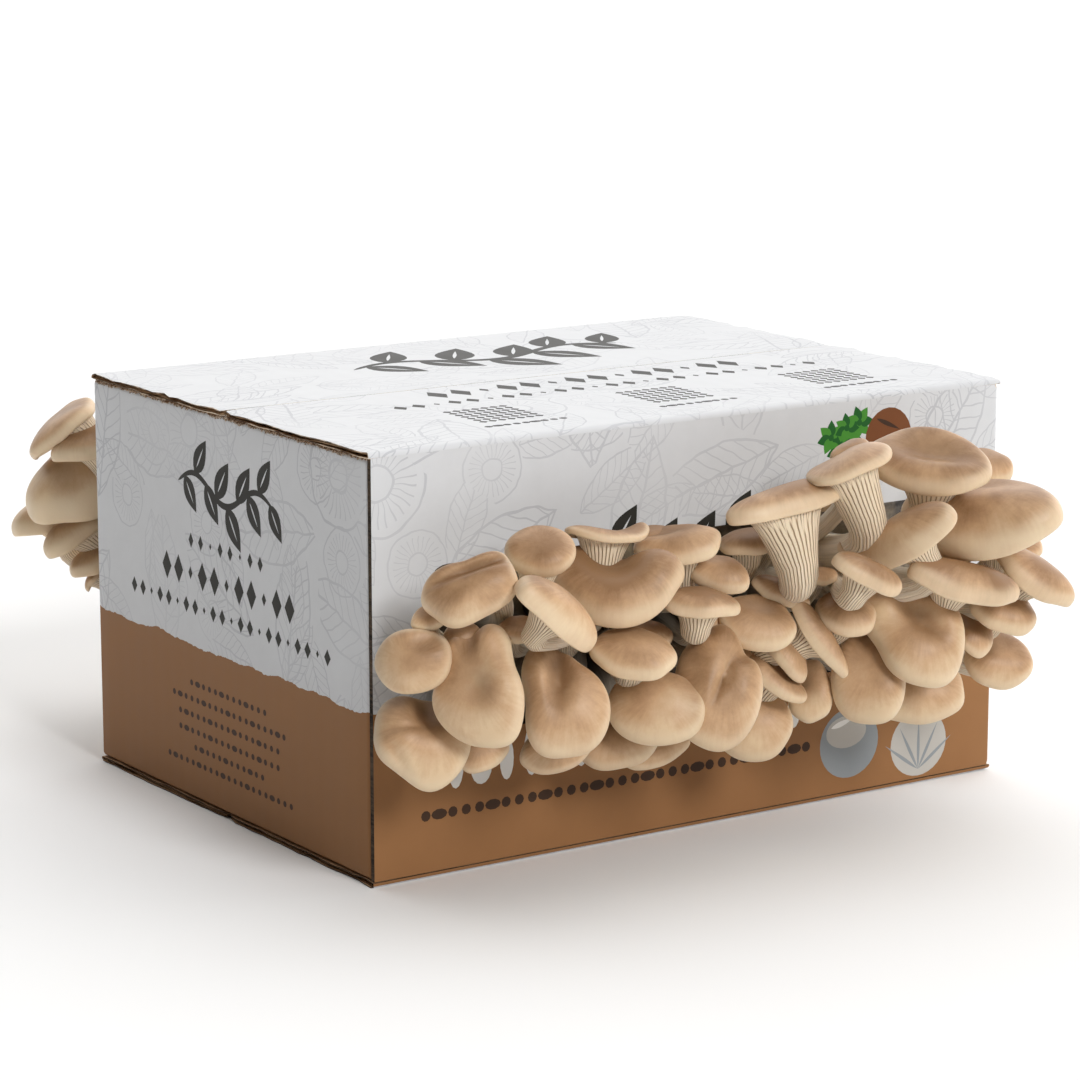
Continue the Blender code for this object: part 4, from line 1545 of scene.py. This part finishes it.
    def build(self, look: Material, nodes: tuple[str, ...]) -> Object:
        """Build the mushroom.

        Args:
            look: Its material.
            nodes: CAD nodes that it stands for, alone or with others.

        Returns:
            The piece.
        """
        skin, flesh, dark, progress = self.surface()
        rings, columns = skin.shape[:2]
        poles = np.stack([skin[0].mean(axis=0), skin[-1].mean(axis=0)])
        quads = grid_faces(rings, columns, True)
        number = np.arange(columns)
        beside = (number + 1) % columns
        crown, last = np.full(columns, rings * columns), (rings - 1) * columns
        top = np.stack([crown, number, beside], axis=-1)
        foot = np.stack([crown + 1, last + beside, last + number], axis=-1)
        # Where every face's corners lie on the map: half gills round the cap, and progress down it.
        row, column = np.divmod(np.arange(len(quads)), columns)
        half_gills = 2 * round(24 + self.mean / 4)
        left, right = column / columns * half_gills, (column + 1) / columns * half_gills
        near, far = progress[row], progress[row + 1]
        corners = [np.stack([left, near, left, far, right, far, right, near], axis=-1).reshape(-1, 2)]
        left, right = left[:columns], right[:columns]
        for place, order in ((progress[0], (left, left, right)), (progress[-1], (left, right, left))):
            around = np.stack(order, axis=-1).ravel()
            corners.append(np.stack([around, np.full(len(around), place)], axis=-1))
        piece = add_piece(
            f"oyster_{self.name}",
            self.in_kit(np.concatenate([skin.reshape(-1, 3), poles])),
            [quads, top, foot],
            [look],
            uv=("gills", np.concatenate(corners)),
        )
        colour = piece.data.attributes.new("flesh", "FLOAT_COLOR", "POINT")
        shares = np.concatenate([flesh.reshape(-1, 4), flesh[0, :1], flesh[-1, :1]])
        colour.data.foreach_set("color", shares.astype(np.float32).ravel())
        tone = piece.data.attributes.new("tone", "FLOAT", "POINT")
        tones = np.concatenate([dark.ravel(), dark[0, :1], dark[-1, :1]])
        tone.data.foreach_set("value", tones.astype(np.float32))
        if nodes:
            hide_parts(*nodes)
        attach(piece, "kit")
        return piece


# The mushrooms by number: place, size and pose of each, and what sets it apart.
FRONT = {
    1: Mushroom(
        (64, 163, 45), (33, 30), (40, -25, 150), stem_at=0.7,
        radii=(1, 1.06, 1.08, 1.04, 1, 0.96, 1, 1.03, 1, 0.96, 0.97, 0.98),
        dents=(Dent((-0.5, -0.5), (0.5, 0.4), 2.2),),
    ),
    2: Mushroom(
        (18, 154, 55), (34, 49), (55, -40, -85), tone=0.16,
        radii=(0.72, 0.93, 0.97, 0.88, 0.9, 1.02, 0.97, 1.08, 1, 0.92, 0.9, 0.7),
        dents=(Dent((0.22, -0.3), (0.16, 0.75), 6.5, -14), Dent((-0.5, 0.0), (0.4, 0.8), -2.0)),
    ),
    3: Mushroom(
        (-4, 120, 42), (29, 38), (78, -46, -112), tone=-0.15,
        radii=(1, 1, 0.98, 1, 1, 1.05, 1.05, 1.06, 1, 0.97, 1, 1),
        dents=(Dent((0.6, -0.55), (0.3, 0.4), 3.5),),
    ),
    4: Mushroom(
        (6, 81, 36), (43, 41), (50, -15, -24),
        radii=(1.1, 1.13, 1.02, 1.12, 1.14, 1.05, 1, 1, 1, 1, 1.05, 1.16),
        dents=(
            Dent((0.0, -0.62), (0.32, 0.5), 6.5), Dent((0.62, 0.62), (0.1, 0.5), 1.6, 40),
            Dent((0.75, 0.1), (0.5, 0.12), 1.2, 10),
        ),
    ),
    5: Mushroom(
        (21, 108, 60), (42, 55), (66, -56, -21), tone=-0.06,
        radii=(1.05, 1.1, 1.02, 1, 1.08, 1.05, 0.95, 0.93, 1.12, 0.95, 1.07, 0.94),
        dents=(
            Dent((-0.16, 0.1), (0.34, 0.32), 4.2), Dent((0.0, -0.85), (0.2, 0.3), 3.0),
            Dent((0.4, -0.72), (0.2, 0.2), -2.4), Dent((-0.42, -0.8), (0.22, 0.22), -2.2),
        ),
    ),
    6: Mushroom(
        (64, 98, 62), (42, 52), (49, -26, -21),
        radii=(0.8, 0.92, 1.13, 1.08, 1.15, 1.18, 1.05, 0.83, 0.72, 0.88, 1.08, 0.98),
        dents=(
            Dent((0.06, -0.3), (0.24, 0.62), 6.0, -8), Dent((0.55, -0.45), (0.22, 0.6), -3.0),
            Dent((-0.25, -0.72), (0.2, 0.2), -2.0),
        ),
    ),
    7: Mushroom(
        (51, 141, 75), (56, 28), (43, 64, -21), stem_at=0.05, funnel=0.25, crown=0.27, stem=5.5, push=0.16,
        root=(34, 4),
    ),
    8: Mushroom(
        (102, 146, 52), (60, 41), (28, -35, -35), tone=0.2,
        radii=(1, 1.06, 1.12, 1.2, 1.12, 1.02, 1.02, 1.12, 0.85, 0.6, 0.85, 1),
        dents=(
            Dent((0.12, -0.3), (0.42, 0.7), 7.5, 12), Dent((-0.72, -0.2), (0.4, 0.7), -4.5),
            Dent((0.85, -0.4), (0.4, 0.5), -2.0),
        ),
    ),
    9: Mushroom(
        (102, 167, 42), (38, 26), (-14, -48, -30), stem_at=0.1, funnel=0.6, crown=0.1,
        radii=(1, 1, 1, 1, 1, 1.05, 1.18, 1.2, 1, 0.95, 1, 1),
        dents=(
            Dent((-1.1, -0.3), (0.35, 0.6), -4.5), Dent((-0.1, -0.1), (0.6, 0.6), 2.5),
        ),
    ),
    10: Mushroom((101, 115, 68), (40, 32), (21, -20, -36), crown=0.22),
    11: Mushroom(
        (140, 159, 48), (42, 30), (14, -60, -25), stem_at=0.1, funnel=0.5, crown=0.2, dish=0.1,
        hollow=(0.35, -0.2),
    ),
    12: Mushroom(
        (140, 133, 66), (38, 26), (7, 40, -34), stem_at=0.1, funnel=0.36, crown=0.2, push=0.12,
        root=(22, 4),
    ),
    13: Mushroom(
        (120, 85, 62), (46, 35), (45, -43, -27), tone=-0.12,
        radii=(1.06, 1.1, 1.12, 1.08, 1.05, 1, 0.95, 0.95, 1, 1.05, 1.1, 1.08),
        dents=(Dent((-0.75, -0.1), (0.3, 1.0), 2.5), Dent((0.35, 0.2), (0.4, 0.5), -1.2)),
    ),
    14: Mushroom(
        (153, 92, 66), (42, 60), (50, -30, -30),
        radii=(1.05, 1.12, 1.1, 1.05, 1.05, 1.02, 0.96, 0.82, 0.76, 1, 0.95, 1.03),
        dents=(
            Dent((0.0, 0.12), (0.1, 0.34), 3.4, -22), Dent((-0.5, -0.45), (0.14, 0.3), 2.6, -50),
            Dent((0.35, -0.25), (0.4, 0.8), -2.2), Dent((-0.55, 0.15), (0.3, 0.6), -2.0),
        ),
    ),
    15: Mushroom((112, 64, 36), (40, 28), (45, -35, -20)),
    16: Mushroom((159, 143, 56), (30, 22), (26, 0, -40)),
    17: Mushroom((186, 153, 42), (27, 22), (12, -55, -25), crown=0.2),
    18: Mushroom((208, 137, 30), (26, 26), (50, -20, 0), crown=0.12, dish=0.3, hollow=(0, 0), pale=0.75),
    19: Mushroom((181, 118, 58), (38, 34), (30, -5, -35), dish=0.06, crown=0.2),
    21: Mushroom((211, 108, 66), (47, 13), (55, 45, -64), crown=0.2),
    22: Mushroom((228, 117, 66), (30, 28), (24, -15, -35), dish=0.04),
    23: Mushroom((194, 87, 54), (38, 20), (32, 36, -53), crown=0.18),
    24: Mushroom((189, 64, 44), (40, 38), (48, -30, -25)),
    25: Mushroom((223, 75, 46), (22, 32), (50, -35, -25)),
    26: Mushroom(
        (247, 84, 62), (38, 49), (54, -35, -22), tone=-0.12,
        radii=(1, 1.1, 1.08, 1.03, 1.08, 1, 0.9, 0.84, 0.86, 0.96, 0.95, 0.94),
        dents=(Dent((0.25, -0.45), (0.3, 0.5), 2.0),),
    ),
    27: Mushroom(
        (265, 103, 76), (47, 50), (48, -25, 10), tone=-0.18,
        radii=(0.93, 1.05, 1.06, 1.08, 1.02, 0.98, 1.06, 1.06, 1, 1.22, 1.34, 1.02),
        dents=(
            Dent((-0.12, -0.1), (0.26, 0.62), 5.5, 20), Dent((0.35, -0.75), (0.3, 0.25), -2.6),
            Dent((-0.62, 0.1), (0.28, 0.7), -1.8),
        ),
    ),
    28: Mushroom((283, 69, 52), (52, 36), (48, -32, -20), root=(0, -8), tone=-0.1),
    29: Mushroom(
        (194, 173, 60), (64, 28), (18, -164, 4), stem_at=0.1, funnel=0.66, crown=0.2, stem=9, push=0.2,
        root=(26, -4),
    ),
    30: Mushroom(
        (227, 191, 66), (46, 34), (22, -127, 30), stem_at=0.1, funnel=0.7, crown=0.11, stem=9, push=0.28,
        root=(26, 2),
        radii=(1, 1, 1.02, 1.06, 1.1, 1.08, 1.02, 1, 1, 1, 1, 1),
    ),
    31: Mushroom(
        (276, 187, 70), (61, 37), (13, -26, -52), stem_at=0.3, funnel=0.5, crown=0.19, stem=9,
        radii=(1.05, 1.1, 1.15, 1.2, 1.18, 1.1, 1.02, 1, 1.05, 1.15, 1.15, 1.08),
        dents=(Dent((0.0, 0.1), (0.62, 0.42), 6.0), Dent((0.2, -0.9), (0.8, 0.35), -3.5)),
    ),
    32: Mushroom((332, 176, 48), (24, 24), (24, -10, 0)),
    33: Mushroom(
        (302, 158, 80), (84, 46), (17, -80, -50), stem_at=0.3, crown=0.25, tone=-0.14,
        radii=(1, 1.05, 1.12, 1.18, 1.15, 1.05, 1, 1, 1.08, 1.12, 1.1, 1.02),
        dents=(Dent((0.3, -0.35), (0.5, 0.25), 3.0, 10), Dent((-0.4, 0.2), (0.5, 0.5), -1.5)),
    ),
    34: Mushroom((251, 154, 84), (58, 29), (38, -115, -16), stem_at=0.2, crown=0.28),
    35: Mushroom(
        (219, 142, 92), (39, 25), (27, 59, -34), stem_at=0.1, funnel=0.34, crown=0.24, stem=6, push=0.1,
        root=(40, 10),
    ),
    36: Mushroom((280, 130, 90), (61, 32), (16, 50, -22), crown=0.23, push=0.1, root=(20, 8), tone=0.18),
    37: Mushroom((328, 127, 88), (45, 31), (37, 52, -54), crown=0.26),
    38: Mushroom((318, 109, 78), (34, 28), (28, 0, -30)),
    40: Mushroom((331, 79, 60), (35, 31), (42, -25, -20), root=(0, -6)),
}

BACK = {
    # Back 1 and 3 to 6 stand near the end of the carton where little light falls: their lighter tones, and
    # the lightened skin of back 3, are painted light.
    1: Mushroom((359, 167, 80), (44, 48), (38, 70, 0), crown=0.15, tone=-0.05),
    2: Mushroom((349, 158, 64), (44, 36), (12, 120, 0), crown=0.26),
    3: Mushroom(
        (347, 132, 80), (70, 56), (22, 124, 0), crown=0.36, tone=-0.22, painted_light=0.12,
        dents=(Dent((0.5, 0.0), (0.5, 0.5), -2.0),),
    ),
    4: Mushroom((358, 112, 102), (40, 38), (17, 95, 0), crown=0.3, tone=-0.2),
    5: Mushroom((354, 108, 76), (42, 38), (32, 76, 0), crown=0.26, tone=-0.15),
    6: Mushroom((347, 94, 64), (34, 28), (20, 96, 0), crown=0.28, tone=-0.1),
    8: Mushroom((60, 180, 60), (58, 46), (25, -30, -20), dish=0.08),
    9: Mushroom((120, 186, 54), (46, 38), (18, 10, 0), stem_at=0.1, funnel=0.5),
    10: Mushroom((180, 180, 64), (60, 48), (28, 15, 0), dish=0.1),
    11: Mushroom((240, 181, 58), (48, 38), (20, -20, 0), stem_at=0.1, funnel=0.5),
    12: Mushroom((298, 171, 64), (58, 46), (28, 15, 0), dish=0.08),
    13: Mushroom((26, 144, 54), (54, 50), (42, -50, -20), dish=0.08),
    14: Mushroom((92, 146, 78), (58, 46), (38, -20, 0)),
    15: Mushroom((156, 142, 82), (54, 44), (35, 10, 0), dish=0.06),
    16: Mushroom((222, 146, 84), (62, 50), (38, -10, 0), dish=0.1, hollow=(0.1, -0.1)),
    17: Mushroom((284, 138, 88), (54, 44), (38, 10, 0)),
    18: Mushroom((22, 102, 50), (50, 54), (56, -45, 0)),
    19: Mushroom((78, 102, 76), (56, 60), (52, -20, 0), dish=0.1, fan=0.3),
    20: Mushroom((140, 98, 80), (54, 56), (50, 0, 0), fan=0.25),
    21: Mushroom((204, 100, 88), (60, 60), (48, 5, 0), dish=0.1, fan=0.25),
    22: Mushroom((268, 96, 84), (54, 54), (50, 15, 0), fan=0.2),
    23: Mushroom((312, 80, 66), (40, 38), (50, 30, 0)),
    24: Mushroom((66, 64, 46), (46, 36), (48, -20, 0)),
    25: Mushroom((126, 58, 52), (46, 36), (48, -5, 0)),
    26: Mushroom((184, 60, 54), (44, 34), (45, 5, 0)),
    27: Mushroom((242, 60, 52), (44, 34), (48, 20, 0)),
}

# Small ones between the others, which are too many for a solid each.
SMALL_FRONT = {
    20: Mushroom((199, 98, 56), (20, 30), (38, 30, 20)),
    39: Mushroom((308, 97, 66), (20, 28), (35, 0, -5)),
    41: Mushroom((6, 138, 40), (17, 13), (34, -40, 0), stem=3.5),
    42: Mushroom((20, 129, 46), (18, 15), (45, -30, 0), stem=4),
    43: Mushroom((38, 125, 46), (18, 14), (38, -20, 0), stem=4),
    44: Mushroom((51, 128, 46), (21, 15), (30, -10, 0), stem=4),
    45: Mushroom((135, 160, 34), (20, 14), (18, -40, 0), stem=5),
    46: Mushroom((236, 194, 58), (21, 16), (24, -80, 0), stem=5),
    47: Mushroom((222, 134, 54), (18, 12), (18, 10, 0), stem=4),
    48: Mushroom((78, 66, 38), (38, 22), (52, -20, 0), stem=5),
    49: Mushroom((199, 128, 52), (30, 15), (28, 25, -42), stem=4.5),
    50: Mushroom((338, 136, 68), (22, 17), (22, -40, 0), stem=4),
    51: Mushroom((134, 58, 38), (36, 20), (50, -20, 0), stem=5),
    52: Mushroom((126, 115, 44), (24, 17), (22, -10, -20), stem=5),
    53: Mushroom((158, 119, 44), (22, 17), (20, 10, -20), stem=5),
    54: Mushroom((38, 70, 34), (26, 20), (50, -30, 0), stem=5),
    55: Mushroom((243, 146, 56), (22, 18), (26, -20, 0), stem=5),
    56: Mushroom((82, 124, 44), (24, 18), (24, -20, 0), stem=5),
    57: Mushroom((300, 138, 58), (28, 20), (24, -20, 0), stem=5),
    58: Mushroom((262, 120, 56), (26, 20), (30, -10, 0), stem=5),
    59: Mushroom((176, 96, 44), (22, 20), (36, -20, 0), stem=5),
    60: Mushroom((88, 90, 42), (22, 24), (44, -20, 0), stem=5),
    61: Mushroom((210, 150, 36), (20, 16), (26, 10, 0), stem=4),
    62: Mushroom((306, 118, 54), (24, 18), (30, 10, 0), stem=4),
    # A dark cap in the gap between the stems of front 30 and 31: its dark tone is painted shade.
    63: Mushroom((252, 166, 20), (30, 20), (34, -20, 0), stem=4, tone=0.3),
}

SMALL_BACK = {
    7: Mushroom((352, 84, 60), (12, 14), (50, 60, 0), stem=4),
    28: Mushroom((54, 124, 44), (28, 22), (30, -15, 0), stem=4.5),
    29: Mushroom((122, 128, 50), (26, 20), (26, 12, 0), stem=4.5),
    30: Mushroom((126, 162, 42), (24, 18), (20, -10, 0), stem=4, tone=0.1),
    31: Mushroom((172, 120, 54), (28, 22), (32, 6, 0), stem=4.5),
    32: Mushroom((212, 167, 44), (24, 18), (22, 14, 0), stem=4),
    33: Mushroom((238, 121, 58), (28, 21), (34, -8, 0), stem=4.5, tone=0.1),
    34: Mushroom((256, 160, 48), (26, 19), (20, 18, 0), stem=4),
    35: Mushroom((302, 112, 56), (28, 24), (36, 12, 0), stem=4.5),
    36: Mushroom((108, 77, 48), (30, 22), (44, -6, 0), stem=4.5),
    37: Mushroom((172, 74, 48), (28, 20), (42, 4, 0), stem=4.5, tone=-0.1),
    38: Mushroom((237, 77, 54), (27, 21), (44, 10, 0), stem=4.5),
    39: Mushroom((327, 108, 54), (28, 24), (30, 40, 0), stem=4.5),
    40: Mushroom((334, 142, 50), (26, 22), (24, 50, 0), stem=4.5),
    41: Mushroom((46, 80, 42), (28, 22), (46, -25, 0), stem=4.5),
    42: Mushroom((86, 168, 40), (26, 19), (18, -20, 0), stem=4),
    43: Mushroom((324, 82, 44), (24, 20), (44, 30, 0), stem=4),
}

# Numbers of those that are grown together at the stem.
FRONT_CLUMPS = ((21, 25), (38, 40), (16, 17), (23, 24))
BACK_CLUMPS = ((8, 9), (10, 11, 12), (13, 18), (14, 15), (16, 17), (19, 20), (21, 22), (24, 25), (26, 27))


@dataclass(frozen=True)
class Cluster:
    """The mushrooms of one side.

    Attributes:
        side: Side of the carton that they grow from.
        mushrooms: Those that have solids in the CAD, by their numbers.
        small: Small ones that stand between them.
        clumps: Numbers of those that are grown together.
    """

    side: str
    mushrooms: dict[int, Mushroom]
    small: dict[int, Mushroom]
    clumps: tuple[tuple[int, ...], ...]

    def grown(self) -> list[tuple[Mushroom, tuple[str, ...]]]:
        """Each mushroom with the CAD nodes that it stands for. Feet of a clump are drawn to their middle."""
        made = []
        for number, mushroom in {**self.mushrooms, **self.small}.items():
            name = f"{self.side}_{number:02}"
            nodes = (f"mushroom_{name}",) if number in self.mushrooms else ()
            for place, clump in enumerate(self.clumps, 1):
                if number in clump:
                    feet = np.mean([self.mushrooms[other].foot() for other in clump], axis=0)
                    pull = (feet - mushroom.foot()) * FOOT_PULL
                    root = (mushroom.root[0] + pull[0], mushroom.root[1] + pull[2])
                    mushroom = replace(mushroom, root=root)
                    nodes = (f"mushroom_{self.side}_clump_{place}",)
            made.append((replace(mushroom, name=name), nodes))
        return made

    def build(self, look: Material) -> None:
        """Build every mushroom."""
        for mushroom, nodes in self.grown():
            report(mushroom.build(look, nodes))


@dataclass(frozen=True)
class Studio:
    """Plain pale floor, soft studio lights and the camera, at the photograph's viewing angle.

    Attributes:
        yaw: Degrees that the camera looks to the right of straight ahead.
        pitch: Degrees that it looks down.
        distance: Metres from the camera to the carton.
        aside: How far the camera stands to the right of the line through the carton's middle.
        above: How far it stands above that line.
        lens: Focal length on a sensor of 36 mm.
        bright_side: Direction of the brightest wall.
        wall_light: Share towards that wall where the light starts, where it is full, and its strength there.
        wall_tint: Colour of the wall away from it.
        paper: Darkest and lightest grey of the floor's paper.
        softbox_at: Where the softbox hangs, in metres from the carton.
        softbox_width: Degrees that it fills as seen from the carton.
        softbox_power: Its power in watts a square metre.
    """

    yaw: float = 33.93
    pitch: float = 11.8
    distance: float = 1.9255
    aside: float = -0.0019
    above: float = 0.0171
    lens: float = 122.363
    bright_side: tuple[float, float, float] = (0.68, 0.5, 0.54)
    wall_light: tuple[float, float, float] = (0.02, 0.9, 1.96)
    wall_tint: str = "FFF7EC"
    paper: tuple[float, float] = (0.925, 0.955)
    softbox_at: tuple[float, float, float] = (0.1, -2.6, 1.6)
    softbox_width: float = 20.0
    softbox_power: float = 1.75

    def add_camera(self) -> None:
        """Add the camera."""
        yaw, pitch = math.radians(self.yaw), math.radians(self.pitch)
        forward = Vector((math.sin(yaw) * math.cos(pitch), math.cos(yaw) * math.cos(pitch), -math.sin(pitch)))
        right = Vector((math.cos(yaw), -math.sin(yaw), 0.0))
        up = right.cross(forward)
        middle = Vector((0.0, 0.0, CARTON_HEIGHT * MM / 2))
        camera = bpy.data.objects.new("camera", bpy.data.cameras.new("camera"))
        camera.data.lens = self.lens
        camera.data.sensor_width = 36.0
        eye = middle - forward * self.distance + right * self.aside + up * self.above
        turn = Matrix((right, up, -forward)).transposed().to_4x4()
        camera.matrix_world = Matrix.Translation(eye) @ turn
        bpy.context.scene.collection.objects.link(camera)
        bpy.context.scene.camera = camera

    def add_softbox(self) -> None:
        """Add a far softbox that faces the carton."""
        lamp = bpy.data.lights.new("front softbox", "SUN")
        lamp.angle = math.radians(self.softbox_width)
        lamp.energy = self.softbox_power
        lit = bpy.data.objects.new("front softbox", lamp)
        lit.location = self.softbox_at
        lit.rotation_euler = (-Vector(self.softbox_at)).to_track_quat("-Z", "Y").to_euler()
        bpy.context.scene.collection.objects.link(lit)

    def add_floor(self) -> None:
        """Add the floor, a disc of matt pale paper 60 m wide."""
        rim = np.column_stack([oval(0.0, 0.0, 60000.0, 60000.0, 64), np.zeros(64)])
        recipe = Recipe(bpy.data.materials.new("pale paper"))
        darkest, lightest = self.paper
        tint = recipe.add("MapRange", recipe.add("TexNoise", Scale=3.0), To_Min=darkest, To_Max=lightest)
        shader = recipe.add("BsdfPrincipled", Base_Color=tint, Roughness=0.9, Specular_IOR_Level=0.0)
        recipe.add("OutputMaterial", shader)
        add_piece("floor", rim, [np.arange(64)[None]], [recipe.block])

    def add_walls(self) -> None:
        recipe = Recipe(bpy.data.worlds.new("soft studio walls"))
        way = recipe.add("TexCoord").outputs["Generated"]
        bright = recipe.add("VectorMath.DOT_PRODUCT", way, self.bright_side)
        start, full, strength = self.wall_light
        strength = recipe.add("MapRange", bright, start, full, 0.0, strength)
        whiter = recipe.add("MapRange", bright, 0.0, 0.7)
        tint = recipe.add("Mix.RGBA", whiter, linear(self.wall_tint), linear("FFFFFF"))
        recipe.add("OutputWorld", recipe.add("Background", tint, strength))
        bpy.context.scene.world = recipe.block

    def build(self) -> None:
        """Set up the studio."""
        self.add_camera()
        self.add_floor()
        self.add_walls()
        self.add_softbox()
        bpy.context.scene.view_settings.view_transform = "Standard"


def report(piece: Object) -> None:
    """Log a finished piece with its number of faces."""
    LOG.info("%s: %d faces", piece.name, len(piece.data.polygons))


def main() -> None:
    logging.basicConfig(level=logging.INFO, format="%(message)s")
    Studio().build()
    looks = [PrintedBoard(*ink.value).make() for ink in INKS]
    along_edge = (1.0, 0.12, 1.0)
    looks.append(KraftPaper("kraft board", cloudy=0.35).make())
    looks.append(KraftPaper("kraft board, raw edge", "3D2E22", "E8D6BE", along_edge, 0.13).make())
    # Painted shade: nearly black kraft for the cut edges under the carton, at its near corner and round its
    # windows.
    looks.append(KraftPaper("kraft board, soiled edge", "1C1611", "57483A", along_edge, 0.2).make())
    Carton().build(looks)
    report(GrowBlock().build(GrowBag().make()))
    flesh = MushroomFlesh().make()
    Cluster("front", FRONT, SMALL_FRONT, FRONT_CLUMPS).build(flesh)
    Cluster("back", BACK, SMALL_BACK, BACK_CLUMPS).build(flesh)


if __name__ == "__main__":
    main()
